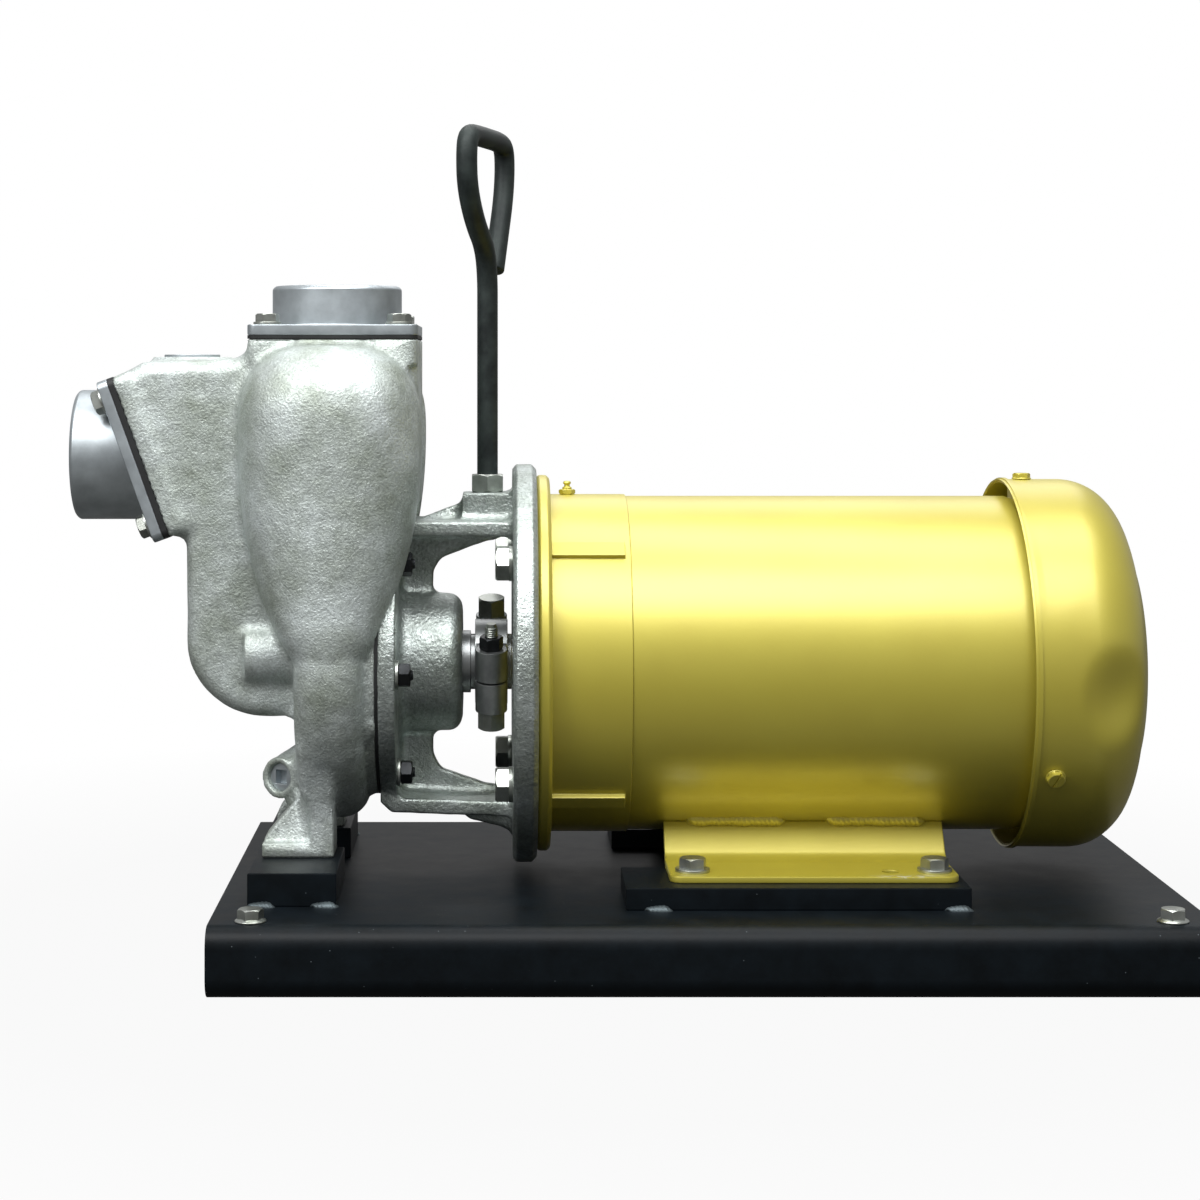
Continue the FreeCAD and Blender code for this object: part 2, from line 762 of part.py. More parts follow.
def casingHollows():
    thinner = "casing_half_width - casing_wall"
    slope = "suction_face_x + 10 / cos(suction_tilt)"
    priming = padded(
        "XZ_Plane", f"2 * ({thinner})",
        ("flange_left - 11", "fill_top - 12"),
        ("flange_left - 11", "impeller_eye + 7"),
        ("volute_start - casing_wall", "impeller_eye + 7"),
        ("volute_start - casing_wall", "chamber_bottom + casing_wall"),
        ("chamber_left + casing_wall", "chamber_bottom + casing_wall"),
        ("chamber_left + casing_wall", "chamber_step + 2"),
        (f"{slope} + 36 * tan(suction_tilt)", "suction_z - 36"),
        (f"{slope} - 40 * tan(suction_tilt)", "suction_z + 40"),
        (f"{slope} - 30 * tan(suction_tilt)", "fill_top - 12"),
    )
    left, bottom = size("chamber_left + casing_wall"), size("chamber_bottom + casing_wall")
    rounded(priming, "chamber_corner - casing_wall", lambda e: isAcross(e, left, bottom))
    rising = padded(
        "XZ_Plane", f"2 * ({thinner})",
        ("flange_left + 1", "impeller_eye + 15"),
        ("volute_end - 9", "impeller_eye + 15"),
        ("volute_end - 9", "arm_outer + relief_gap + 3"),
        ("chamber_rear - casing_wall", "chamber_taper + casing_wall"),
        ("chamber_rear - casing_wall", "discharge_face - 10"),
        ("flange_left + 1", "discharge_face - 10"),
    )
    wall = size("casing_wall + lobe_extra_wall")
    pocket = cut(lobe("LobeHollow", wall, lobeLevels(size("neck_z"), wall)),
                 rod("x", "pump_flange_radius + relief_gap + casing_wall", "80", "volute_end - casing_wall"))
    scroll = revolved(
        ("impeller_front - vane_gap", "0"), ("impeller_front - vane_gap", "volute_cavity"),
        ("volute_end - 10", "volute_cavity"), ("volute_end - 7", "casing_mouth"),
        ("casing_face + 1", "casing_mouth"), ("casing_face + 1", "0"),
    )
    eye = rod("x", "impeller_eye", "impeller_front - volute_start + casing_wall + 1",
              "volute_start - casing_wall - 1")
    return [
        priming, rising, pocket, mirrored(pocket), scroll, eye,
        rod("x", "pump_flange_radius + relief_gap", "80", "casing_face"),
        block("casing_face", "-arm_half_width - relief_gap", "0",
              "80", "2 * arm_half_width + 2 * relief_gap", "arm_outer + relief_gap"),
        rod("z", "valve_seat", "14", "discharge_x", "0", "discharge_face - 13"),
        onSuctionFace(rod("-z", "valve_opening", "13", "0", "0", "1"),
                      *portHoles("-port_thread - 0.5", "port_thread + 1")),
        moved(group(*portHoles("-port_thread - 0.5", "port_thread + 1")), "discharge_x", "0", "discharge_face"),
        rod("z", "fill_plug_radius + bore_clearance", "fill_plug_depth + 1",
            "fill_x", "0", "fill_top - fill_plug_depth"),
        drainAxis(rod("-z", "drain_bore + bore_clearance", "28", "0", "0", "1")),
        *studHoles("casing_face - stud_thread - 0.5", "stud_thread + 1"),
        *acrossY(rod("z", "pump_foot_bolt_radius + bore_clearance", "pump_foot_thread + 1",
                     "pump_foot_bolt_x", "-pump_foot_bolt_y", "-pump_foot_height - 0.5")),
    ]


piece("pump_casing", casing())


# Plugs: a hexagon socket in the fill plug, a recessed square socket in the drain plug

def fillPlug():
    body = rod("z", "fill_plug_radius", "fill_plug_depth + 1.5", "fill_x", "0", "fill_top - fill_plug_depth")
    return cut(body, hexagon("z", "plug_socket", "fill_plug_depth", "fill_x", "0", "fill_top - plug_socket_depth"))


def drainPlug():
    body = rod("-z", "drain_bore", "drain_plug_length", "0", "0", "-drain_plug_inset")
    socket = block("-drain_bore / 2", "-drain_bore / 2", "-drain_plug_inset - 5", "drain_bore", "drain_bore", "6")
    return drainAxis(cut(body, socket))


piece("fill_plug", fillPlug())
piece("drain_plug", drainPlug())


# Discharge flange on its gasket, with the threaded collar standing on it

def overDischarge(*features):
    return moved(group(*features), "discharge_x", "0", "discharge_face")


def collar(start, reach):
    return revolved(
        ("port_bore", start), ("collar_radius", start),
        ("collar_radius", f"{reach} - 2"), ("collar_radius - 2", reach),
        ("port_bore + 1.5", reach), ("port_bore", f"{reach} - 1.5"), axis="V_Axis",
    )


def dischargeFlange():
    plate = cut(portPlate("port_gasket", "port_plate"), rod("z", "port_bore", "port_plate + 4", "0", "0", "0"),
                *portHoles("0", "port_plate + 4"))
    return overDischarge(fuse(plate, collar("port_gasket", "port_gasket + port_plate + collar_height")))


def sheetGasket(thickness, window):
    return cut(portPlate("0", thickness), window, *portHoles("-1", f"{thickness} + 2"))


def portBolts(seat):
    reach = f"{seat} + port_washer + port_thread"
    return [moved(hexBolt("port_bolt_flats", "port_bolt_head", "port_bolt_radius", reach),
                  x, y, f"{seat} + port_washer") for x, y in portBoltPlaces()]


def portWashers(seat):
    return [ring("z", "port_bolt_flats * 0.66", "port_bolt_radius + bore_clearance", "port_washer", x, y, seat)
            for x, y in portBoltPlaces()]


piece("discharge_flange", dischargeFlange())
piece("discharge_gasket", overDischarge(sheetGasket("port_gasket", rod("z", "port_bore + 2", "10", "0", "0", "-2"))))
piece("discharge_bolts", overDischarge(*portBolts("port_gasket + port_plate")))
piece("discharge_washers", overDischarge(*portWashers("port_gasket + port_plate")))


# Suction side: slanted plate, level collar, and the rubber sheet whose flap is the check valve

def suctionFlange():
    plate = onSuctionFace(cut(portPlate("valve_sheet", "port_plate"), *portHoles("0", "port_plate + 6")))
    behind = onSuctionFace(block("-120", "-120", "valve_sheet - 80", "240", "240", "80"))
    tube = rod("-x", "collar_radius", "collar_length + 30", "suction_face_x + 30", "0", "suction_z")
    bevel = cut(rod("-x", "collar_radius + 5", "3", "-suction_reach + 2", "0", "suction_z"),
                cone("-x", "collar_radius", "collar_radius - 3", "3.1", "-suction_reach + 2", "0", "suction_z"))
    return cut(
        fuse(plate, cut(tube, behind, bevel)),
        rod("-x", "port_bore", "collar_length + 5", "-suction_reach + port_depth", "0", "suction_z"),
        rod("-x", "valve_seat", "collar_length + 60", "suction_face_x + 40", "0", "suction_z"),
    )


def valveSheet():
    window = fuse(
        rod("z", "valve_window", "valve_sheet + 4", "0", "0", "-2"),
        block("0", "-flap_tab / 2 - flap_gap", "-2",
              "flap_hinge + flap_sheet / 2 + flap_gap", "flap_tab + 2 * flap_gap", "valve_sheet + 4"),
    )
    return onSuctionFace(sheetGasket("valve_sheet", window))


def flap():
    disc = rod("z", "flap_radius", "flap_sheet", "0", "0", "flap_low")
    tab = block("0", "-flap_tab / 2", "flap_low", "flap_hinge", "flap_tab", "flap_sheet")
    roll = rod("y", "flap_sheet / 2", "flap_tab", "flap_hinge", "-flap_tab / 2", "flap_low + flap_sheet / 2")
    return onSuctionFace(cut(fuse(disc, tab, roll), rod("z", "flap_screw + flap_fit", "20", "0", "0", "-10")))


def flapWeights():
    return onSuctionFace(
        ring("z", "weight_outer", "flap_screw + flap_fit", "weight_thickness", "0", "0", "flap_low + flap_sheet"),
        ring("z", "weight_inner", "flap_screw + flap_fit", "weight_thickness", "0", "0", "flap_low - weight_thickness"),
    )


def flapScrew():
    stack = "flap_sheet + 2 * weight_thickness"
    head = rod("z", "2 * flap_screw", "2.5", "0", "0", "flap_low + flap_sheet + weight_thickness")
    shank = rod("-z", "flap_screw", f"{stack} + 5.5", "0", "0", "flap_low + flap_sheet + weight_thickness")
    nut = hexagon("-z", "flap_screw * 3.4", "4", "0", "0", "flap_low - weight_thickness")
    return onSuctionFace(fuse(head, shank, nut))


piece("suction_flange", suctionFlange())
piece("check_valve_gasket", valveSheet())
piece("check_valve_flap", flap())
piece("flap_weights", flapWeights())
piece("flap_screw", flapScrew())
piece("suction_bolts", onSuctionFace(*portBolts("valve_sheet + port_plate")))
piece("suction_washers", onSuctionFace(*portWashers("valve_sheet + port_plate")))


# Impeller: a back shroud and hub with arc vanes, each the part of a tube wall between hub and rim

def impellerVane(angle):
    arc = ring("x", "vane_arc", "vane_arc - vane_thickness", "impeller_depth", "impeller_front", "-vane_centre", "0")
    side = block("impeller_front - 1", "-3 * impeller_radius", "0",
                 "impeller_depth + 2", "6 * impeller_radius", "3 * impeller_radius")
    annulus = ring("x", "impeller_radius", "impeller_hub_radius - 1", "impeller_depth", "impeller_front")
    return turned(common(arc, side, annulus), (1, 0, 0), str(angle))


def impeller():
    wheel = revolved(
        ("impeller_nose", "impeller_seat_radius + sleeve_gap"),
        ("impeller_nose", "impeller_hub_radius - 4"),
        ("impeller_nose + 4", "impeller_hub_radius"),
        ("impeller_back - impeller_shroud - 4", "impeller_hub_radius"),
        ("impeller_back - impeller_shroud", "impeller_hub_radius + 4"),
        ("impeller_back - impeller_shroud", "impeller_radius"),
        ("impeller_back", "impeller_radius"),
        ("impeller_back", "impeller_hub_radius"),
        ("impeller_seat_end", "impeller_hub_radius"),
        ("impeller_seat_end", "impeller_seat_radius + sleeve_gap"),
    )
    count = int(size("vane_count"))
    return fuse(wheel, *around(count, impellerVane))


piece("impeller", impeller())
piece("impeller_washer", ring("x", "impeller_hub_radius - 3", "impeller_seat_radius + sleeve_gap",
                              "impeller_washer", "impeller_nose - impeller_washer"))
piece("impeller_nut", cut(
    hexagon("-x", "impeller_nut_flats", "impeller_nut_height", "impeller_nose - impeller_washer"),
    rod("-x", "impeller_seat_radius + sleeve_gap", "impeller_nut_height + 2", "impeller_nose - impeller_washer + 1")))


# Stub shaft: seat of the impeller, seal journal, shoulder, and a sleeve that takes the motor shaft

def keyway(reach):
    return block("-shaft_reach + 2", "-key_width / 2 - sleeve_gap", "key_bottom - sleeve_gap",
                 reach, "key_width + 2 * sleeve_gap", "key_width + 2 * sleeve_gap")


def stubShaft():
    body = revolved(
        ("stub_end", "0"), ("stub_end", "impeller_seat_radius - 1"), ("stub_end + 1", "impeller_seat_radius"),
        ("impeller_seat_end", "impeller_seat_radius"), ("impeller_seat_end", "seal_radius"),
        ("shoulder_start", "seal_radius"), ("shoulder_start", "shoulder_radius"),
        ("sleeve_shoulder", "shoulder_radius"), ("sleeve_shoulder", "sleeve_radius"),
        ("sleeve_end", "sleeve_radius"), ("sleeve_end", "shaft_radius + sleeve_gap"),
        ("-shaft_reach - 1", "shaft_radius + sleeve_gap"), ("-shaft_reach - 1", "0"),
    )
    return cut(body, keyway("shaft_reach + 10"))


piece("stub_shaft", stubShaft())
piece("shaft_key", block("-shaft_reach + 3", "-key_width / 2", "key_bottom", "key_length", "key_width", "key_width"))


# Mechanical seal: seat in the bracket, head and spring on the shaft

def sealSpring():
    wire = size("spring_wire")
    start = size("impeller_back") + wire
    length = size("seal_spring_end") - start - wire
    radius = size("spring_radius")
    helix = Part.makeHelix(length / size("spring_turns"), length, radius)
    section = Part.Wire(Part.makeCircle(wire, Vector(radius, 0, 0), Vector(0, 1, 0)))
    coil = solid("SpringCoil", Part.Wire(helix.Edges).makePipeShell([section], True, True))
    coil.Placement = FreeCAD.Placement(Vector(start, 0, 0), TURNS["x"])
    return coil


piece("seal_seat", ring("x", "seat_radius - sleeve_gap", "seal_radius + 1.2", "seat_thickness", "seat_face"))
piece("seal_head", ring("x", "spring_radius + 2.5", "seal_radius + sleeve_gap", "seal_head_length",
                        "seal_spring_end"))
piece("seal_spring", sealSpring())


# Bracket: motor flange, pump flange with hub, two arms with a web, handle boss and heel

def bracket():
    flange = revolved(
        ("-bracket_flange_thickness", "bracket_window_radius"),
        ("-bracket_flange_thickness", "bracket_flange_radius - 2.5"),
        ("-bracket_flange_thickness + 2.5", "bracket_flange_radius"),
        ("-3", "bracket_flange_radius"), ("0", "bracket_flange_radius - 3"),
        ("0", "rabbet_radius + sleeve_gap"),
        ("-rabbet_height - 0.5", "rabbet_radius + sleeve_gap"),
        ("-rabbet_height - 0.5", "bracket_window_radius"),
    )
    hub = revolved(
        ("casing_face - spigot_reach", "seal_cavity_radius"),
        ("casing_face - spigot_reach", "spigot_radius"),
        ("pump_flange_start", "spigot_radius"),
        ("pump_flange_start", "pump_flange_radius"),
        ("hub_start", "pump_flange_radius"),
        ("hub_start", "hub_radius"), ("hub_end", "hub_radius"), ("hub_end", "hub_bore"),
        ("seat_face + seat_thickness", "hub_bore"),
        ("seat_face + seat_thickness", "seat_radius"),
        ("seat_face", "seat_radius"), ("seat_face", "seal_cavity_radius"),
    )
    radius, end = size("hub_radius"), size("hub_end")
    rounded(hub, "hub_round", lambda e: isCircle(e, radius) and liesAt(e, "x", end))
    start = size("hub_start")
    rounded(hub, "hub_round - 3", lambda e: isCircle(e, radius) and liesAt(e, "x", start))
    boss = block("boss_start", "-boss_half_width", "arm_outer - 4",
                 "boss_end - boss_start", "2 * boss_half_width", "boss_top - arm_outer + 4")
    return cut(
        fuse(flange, hub, arm("1", "0"), arm("-1", "lower_arm_drop"), web("1"), web("-1"),
             topGusset(), heel(), boss),
        rod("-z", "rod_radius + bore_clearance", "handle_seat + 1", "handle_x", "0", "boss_top + 0.5"),
        *studHoles("casing_face - 4", "30"),
        *faceBoltHoles("-bracket_flange_thickness - 1", "bracket_flange_thickness + 3"),
        rod("x", "hub_bore", "hub_end - seat_face", "seat_face + seat_thickness"),
        rod("x", "bracket_window_radius", "bracket_flange_thickness + 4", "-bracket_flange_thickness - 2"),
    )


def isCircle(edge, radius):
    return edge.Curve.TypeId == "Part::GeomCircle" and abs(edge.Curve.Radius - radius) < 0.01


def arm(side, drop):
    return padded(
        "XZ_Plane", "2 * arm_half_width",
        ("pump_flange_start", f"{side} * (pump_flange_radius - 20)"),
        ("pump_flange_start", f"{side} * (arm_outer - 6.5)"),
        ("pump_flange_start + 6.5", f"{side} * arm_outer"),
        ("boss_end + 1", f"{side} * (arm_outer + {drop})"),
        ("boss_end + 1", f"{side} * (arm_outer - arm_thickness + {drop})"),
        ("hub_start", f"{side} * (arm_outer - arm_thickness)"),
        ("hub_start", f"{side} * (pump_flange_radius - 20)"),
    )


def web(side):
    body = padded(
        "XZ_Plane", "web_thickness",
        ("hub_start - 4", f"{side} * (hub_radius - 6)"),
        ("hub_start - 4", f"{side} * (arm_outer - 4)"),
        ("web_tip", f"{side} * (arm_outer - 4)"),
        ("web_tip", f"{side} * (arm_outer - arm_thickness - 1)"),
        ("web_edge + 2 * web_corner", f"{side} * (arm_outer - arm_thickness - 4)"),
        ("web_edge", f"{side} * (arm_outer - arm_thickness - 4)"),
        ("web_edge", f"{side} * (hub_radius - 6)"),
    )
    x, z = size("web_edge"), size(f"{side} * (arm_outer - arm_thickness - 4)")
    return rounded(body, "web_corner", lambda e: isAcross(e, x, z))


def topGusset():
    return padded(
        "XZ_Plane", "web_thickness",
        ("pump_flange_start + 16", "arm_outer - 2"),
        ("boss_start + 1", "arm_outer + 11"),
        ("boss_start + 1", "arm_outer - 2"),
    )


def heel():
    return padded(
        "XZ_Plane", "web_thickness",
        ("boss_start - 6", "-arm_outer + 1"),
        ("boss_end + 1", "-heel_depth"),
        ("boss_end + 1", "-arm_outer + 1"),
    )


def faceBoltPlaces():
    return [(f"{y} * face_bolt_offset", f"{z} * face_bolt_offset") for y in (-1, 1) for z in (-1, 1)]


def faceBoltHoles(start, length):
    return [rod("x", "face_bolt_shank + bore_clearance", length, start, y, z) for y, z in faceBoltPlaces()]


piece("bracket", bracket())
piece("casing_gasket", cut(
    ring("x", "pump_flange_radius", "casing_mouth", "gasket_thickness", "casing_face"),
    *studHoles("casing_face - 1", "gasket_thickness + 2")))
piece("casing_studs", *[
    rod("x", "stud_radius", "hub_start + washer_thickness + nut_height + stud_tip - casing_face + stud_thread",
        "casing_face - stud_thread", y, z) for y, z in studPlaces()])
piece("casing_washers", *[
    ring("x", "washer_radius", "stud_radius + bore_clearance", "washer_thickness", "hub_start", y, z)
    for y, z in studPlaces()])
piece("casing_nuts", *[
    cut(hexagon("x", "nut_flats", "nut_height", "hub_start + washer_thickness", y, z),
        rod("x", "stud_radius + sleeve_gap", "nut_height + 2", "hub_start + washer_thickness - 1", y, z))
    for y, z in studPlaces()])
piece("bracket_washers", *[
    ring("-x", "lock_washer_radius", "face_bolt_shank + bore_clearance", "lock_washer",
         "-bracket_flange_thickness", y, z) for y, z in faceBoltPlaces()])
piece("bracket_bolts", *[
    fuse(hexagon("-x", "face_bolt_flats", "face_bolt_head", "-bracket_flange_thickness - lock_washer", y, z),
         rod("x", "face_bolt_shank", "bracket_flange_thickness + lock_washer + face_bolt_depth",
             "-bracket_flange_thickness - lock_washer", y, z)) for y, z in faceBoltPlaces()])


# Split clamp: two halves with round ears, its two bolts set head to tail

def onClamp(*features):
    return turned(group(*features), (1, 0, 0), "clamp_turn", "clamp_centre")


def clampHalf():
    ears = [rod("z", "clamp_ear_radius", "clamp_ear_height", "0", y, "clamp_split / 2")
            for y in ("-clamp_ear_offset", "clamp_ear_offset")]
    lugs = block("-clamp_width / 2 + 1", "-clamp_ear_offset", "clamp_split / 2",
                 "clamp_width - 2", "2 * clamp_ear_offset", "clamp_ear_height - 1.5")
    band = rod("x", "clamp_radius", "clamp_width", "-clamp_width / 2")
    below = block("-50", "-80", "-160 + clamp_split / 2", "100", "160", "160")
    holes = [rod("z", "clamp_bolt_radius + bore_clearance", "60", "0", y, "-10")
             for y in ("-clamp_ear_offset", "clamp_ear_offset")]
    bore = rod("x", "sleeve_radius + sleeve_gap", "clamp_width + 4", "-clamp_width / 2 - 2")
    return cut(fuse(band, lugs, *ears), below, bore, *holes)


def clampBolt():
    ear = "(clamp_split / 2 + clamp_ear_height)"
    return moved(fuse(
        hexagon("-z", "clamp_head_flats", "clamp_head_height", "0", "0", f"-{ear}"),
        rod("z", "clamp_bolt_radius", f"2 * {ear} + clamp_nut_height + clamp_stud_reach", "0", "0", f"-{ear}"),
    ), "0", "-clamp_ear_offset")


def clampNut():
    ear = "clamp_split / 2 + clamp_ear_height"
    return cut(hexagon("z", "clamp_nut_flats", "clamp_nut_height", "0", "-clamp_ear_offset", ear),
               rod("z", "clamp_bolt_radius + sleeve_gap", "60", "0", "-clamp_ear_offset", "0"))


def flipped(feature):
    return turned(feature, (1, 0, 0), "180")


piece("clamp_upper", onClamp(clampHalf()))
piece("clamp_lower", onClamp(flipped(clampHalf())))
piece("clamp_bolts", onClamp(clampBolt(), flipped(clampBolt())))
piece("clamp_nuts", onClamp(clampNut(), flipped(clampNut())))


# Lifting handle: one rod, bent into a closed eye above its stem

def bentRod(points, radius):
    runs = []
    start = points[0]
    for before, corner, after, bend in pointsWithBends(points):
        into, out = (corner - before).normalize(), (after - corner).normalize()
        turn = into.getAngle(out)
        back = bend * math.tan(turn / 2)
        first, last = corner - into * back, corner + out * back
        middle = corner + (out - into).normalize() * (bend / math.cos(turn / 2) - bend)
        runs += [Part.LineSegment(start, first).toShape(), Part.Arc(first, middle, last).toShape()]
        start = last
    runs.append(Part.LineSegment(start, points[-1]).toShape())
    path = Part.Wire(runs)
    section = Part.Wire(Part.makeCircle(radius, points[0], points[1] - points[0]))
    return path.makePipeShell([section], True, True)


def pointsWithBends(points):
    bends = [size(text) for text in ("2.5 * handle_corner", "2.5 * handle_corner", "handle_corner",
                                     "handle_corner", "2.5 * handle_corner")]
    return [(points[i - 1], points[i], points[i + 1], bends[i - 1]) for i in range(1, len(points) - 1)]


def handle():
    half, top, bottom = size("handle_eye_half"), size("handle_eye_top"), size("handle_eye_bottom")
    seat = size("boss_top - handle_seat")
    tuck = size("2 * rod_radius + 1")
    height = top - bottom
    points = [
        Vector(0, 0, seat), Vector(0, 0, bottom), Vector(0, -half, bottom + 0.55 * height),
        Vector(0, -half, top), Vector(0, half, top), Vector(0, half, bottom + 0.55 * height),
        Vector(0, tuck, bottom - 2),
    ]
    return turned(solid("HandleRod", bentRod(points, size("rod_radius"))), (0, 0, -1), "handle_turn", "handle_x")


piece("lifting_handle", handle())
piece("handle_nut", cut(
    hexagon("z", "handle_nut_flats", "handle_nut_height", "handle_x", "0", "boss_top"),
    rod("z", "rod_radius + bore_clearance", "handle_nut_height + 4", "handle_x", "0", "boss_top - 2")))


# Motor: end bells, shell and core stay still

def driveBell():
    bell = revolved(
        ("-rabbet_height", "drive_bearing_bore + 1"), ("-rabbet_height", "rabbet_radius"),
        ("0", "rabbet_radius"), ("0", "face_radius - 1.5"), ("1.5", "face_radius"),
        ("face_thickness - 2", "face_radius"), ("face_thickness", "face_radius - 2"),
        ("face_thickness", "endbell_radius"), ("endbell_length", "endbell_radius"),
        ("endbell_length", "endbell_radius - bell_wall"),
        ("face_plate", "endbell_radius - bell_wall"),
        ("face_plate", "drive_bearing_radius + bell_wall"),
        ("drive_bearing_end", "drive_bearing_radius + bell_wall"),
        ("drive_bearing_end", "drive_bearing_radius + sleeve_gap"),
        ("drive_bearing_start", "drive_bearing_radius + sleeve_gap"),
        ("drive_bearing_start", "drive_bearing_bore + 1"),
    )
    ridges = [turned(block("face_thickness - 1", "-ridge_width / 2", "endbell_radius - 3",
                           "ridge_reach + 1", "ridge_width", "ridge_height + 3"), (1, 0, 0), str(angle))
              for angle in (45, 135, 225, 315)]
    return cut(fuse(bell, *ridges), *faceBoltHoles("-rabbet_height - 1", "rabbet_height + face_bolt_depth + 1.5"),
               rod("-z", "grease_radius + bore_clearance", "12", "grease_x", "0", "endbell_radius + 2"))


def rearBell():
    bell = revolved(
        ("shell_end", "rear_bell_radius"), ("rear_bell_end - 7", "rear_bell_radius"),
        ("rear_bell_end", "rear_bell_radius - 7"), ("rear_bell_end", "rear_bearing_bore + 1"),
        ("rear_bearing_end", "rear_bearing_bore + 1"),
        ("rear_bearing_end", "rear_bearing_radius + sleeve_gap"),
        ("rear_bearing_start", "rear_bearing_radius + sleeve_gap"),
        ("rear_bearing_start", "rear_bearing_radius + bell_wall"),
        ("rear_bell_end - bell_wall", "rear_bearing_radius + bell_wall"),
        ("rear_bell_end - bell_wall", "rear_bell_radius - bell_wall"),
        ("shell_end", "rear_bell_radius - bell_wall"),
    )
    lugs = [turned(block("cover_screw_x - 7", "-9", "rear_bell_radius - 4",
                         "14", "18", "cover_radius - cover_wall - rear_bell_radius + 3.5"), (1, 0, 0), str(angle))
            for angle in COVER_SCREWS]
    return cut(fuse(bell, *lugs), *[turned(screwHole(), (1, 0, 0), str(angle)) for angle in COVER_SCREWS])


COVER_SCREWS = (0, 120, 240)


def screwHole():
    return rod("z", "cover_screw + bore_clearance", "20", "cover_screw_x", "0", "cover_radius - cover_wall - 12")


def fanCover():
    shell = coverForm("0", "cover_corner")
    hollow = coverForm("cover_wall", "cover_corner - cover_wall")
    count = int(size("intake_count"))
    slots = [turned(block("cover_end - 14", "-intake_slot / 2", "intake_inner", "20", "intake_slot",
                          "intake_outer - intake_inner"), (1, 0, 0), str(angle))
             for angle in around(count, float)]
    return cut(shell, hollow, *slots, *[turned(screwHole(), (1, 0, 0), str(angle)) for angle in COVER_SCREWS])


def coverForm(inset, corner):
    body = revolved(
        (f"cover_start - {inset}", "0"), (f"cover_start - {inset}", f"cover_radius - {inset}"),
        (f"cover_end - cover_dome - {inset}", f"cover_radius - {inset}"), (f"cover_end - {inset}", "0"),
    )
    radius = size(f"cover_radius - {inset}")
    place = size(f"cover_end - cover_dome - {inset}")
    return rounded(body, corner, lambda e: isCircle(e, radius) and liesAt(e, "x", place))


def coverScrew(angle):
    head = fuse(hexagon("z", "cover_screw_flats", "2.6", "0", "0", "1"), rod("z", "cover_screw_flats * 0.62", "1"))
    slot = block("-cover_screw_flats", "-0.6", "2.4", "2 * cover_screw_flats", "1.2", "3")
    shank = rod("-z", "cover_screw", "9")
    return turned(moved(group(cut(fuse(head, shank), slot)), "cover_screw_x", "0", "cover_radius"),
                  (1, 0, 0), str(angle))


def winding(start):
    return revolved(
        (start, "winding_inner"), (start, "winding_outer - 4"),
        (f"{start} + winding_length / 2", "winding_outer"), (f"{start} + winding_length", "winding_outer - 4"),
        (f"{start} + winding_length", "winding_inner"),
    )


piece("drive_endbell", driveBell())
piece("grease_fitting", fuse(
    hexagon("z", "grease_radius * 3", "3", "grease_x", "0", "endbell_radius + 0.4"),
    rod("-z", "grease_radius", "8", "grease_x", "0", "endbell_radius + 1"),
    cone("z", "grease_radius", "grease_radius * 0.6", "5.5", "grease_x", "0", "endbell_radius + 3")))
piece("stator_frame", ring("x", "shell_radius", "shell_radius - shell_wall", "shell_length", "endbell_length"))
piece("rear_endbell", rearBell())
piece("stator_core", ring("x", "shell_radius - shell_wall - sleeve_gap", "core_bore", "core_length", "core_start"))
piece("stator_windings", winding("core_start - winding_length"), winding("core_start + core_length"))
piece("fan_cover", fanCover())
piece("fan_cover_screws", *[coverScrew(angle) for angle in COVER_SCREWS])


# Motor: shaft, rotor, bearings and fan turn

def motorShaft():
    body = revolved(
        ("-shaft_reach", "0"), ("-shaft_reach", "shaft_radius - 1"), ("-shaft_reach + 1", "shaft_radius"),
        ("drive_bearing_start - 1", "shaft_radius"), ("drive_bearing_start - 1", "drive_bearing_bore"),
        ("drive_bearing_end", "drive_bearing_bore"), ("drive_bearing_end", "rotor_shaft_radius"),
        ("rear_bearing_start", "rotor_shaft_radius"), ("rear_bearing_start", "rear_bearing_bore"),
        ("rear_bell_end + 2", "rear_bearing_bore"), ("rear_bell_end + 2", "fan_bore"),
        ("fan_start + fan_hub_length", "fan_bore"), ("fan_start + fan_hub_length", "0"),
    )
    return cut(body, keyway("shaft_reach - 8"))


def bearingRings(outer):
    rings = []
    for name in ("drive", "rear"):
        start, width = f"{name}_bearing_start", f"{name}_bearing_width"
        rim, bore = f"{name}_bearing_radius", f"{name}_bearing_bore"
        if outer:
            rings.append(ring("x", rim, f"{rim} - race_wall", width, start))
        else:
            rings.append(ring("x", f"{bore} + race_wall", f"{bore} + sleeve_gap", width, start))
    return rings


def bearingBalls():
    balls = []
    for name in ("drive", "rear"):
        for angle in around(int(size("ball_count")), float):
            ball = document.addObject("Part::Sphere", "Ball")
            bind(ball, Radius=f"({name}_bearing_radius - {name}_bearing_bore) / 2 - race_wall - 0.1")
            moved(ball, f"{name}_bearing_start + {name}_bearing_width / 2", "0",
                  f"({name}_bearing_radius + {name}_bearing_bore) / 2")
            balls.append(turned(ball, (1, 0, 0), str(angle)))
    return balls


def fan():
    hub = ring("x", "fan_hub_radius", "fan_bore + sleeve_gap", "fan_hub_length", "fan_start")
    disc = ring("x", "fan_radius", "fan_hub_radius - 1", "fan_disc", "fan_start")
    blades = [turned(block("fan_start + 1", "-fan_blade_thickness / 2", "fan_hub_radius - 1",
                           "fan_blade_height + fan_disc", "fan_blade_thickness", "fan_radius - fan_hub_radius"),
                     (1, 0, 0), str(angle)) for angle in around(int(size("fan_blade_count")), float)]
    return fuse(hub, disc, *blades)


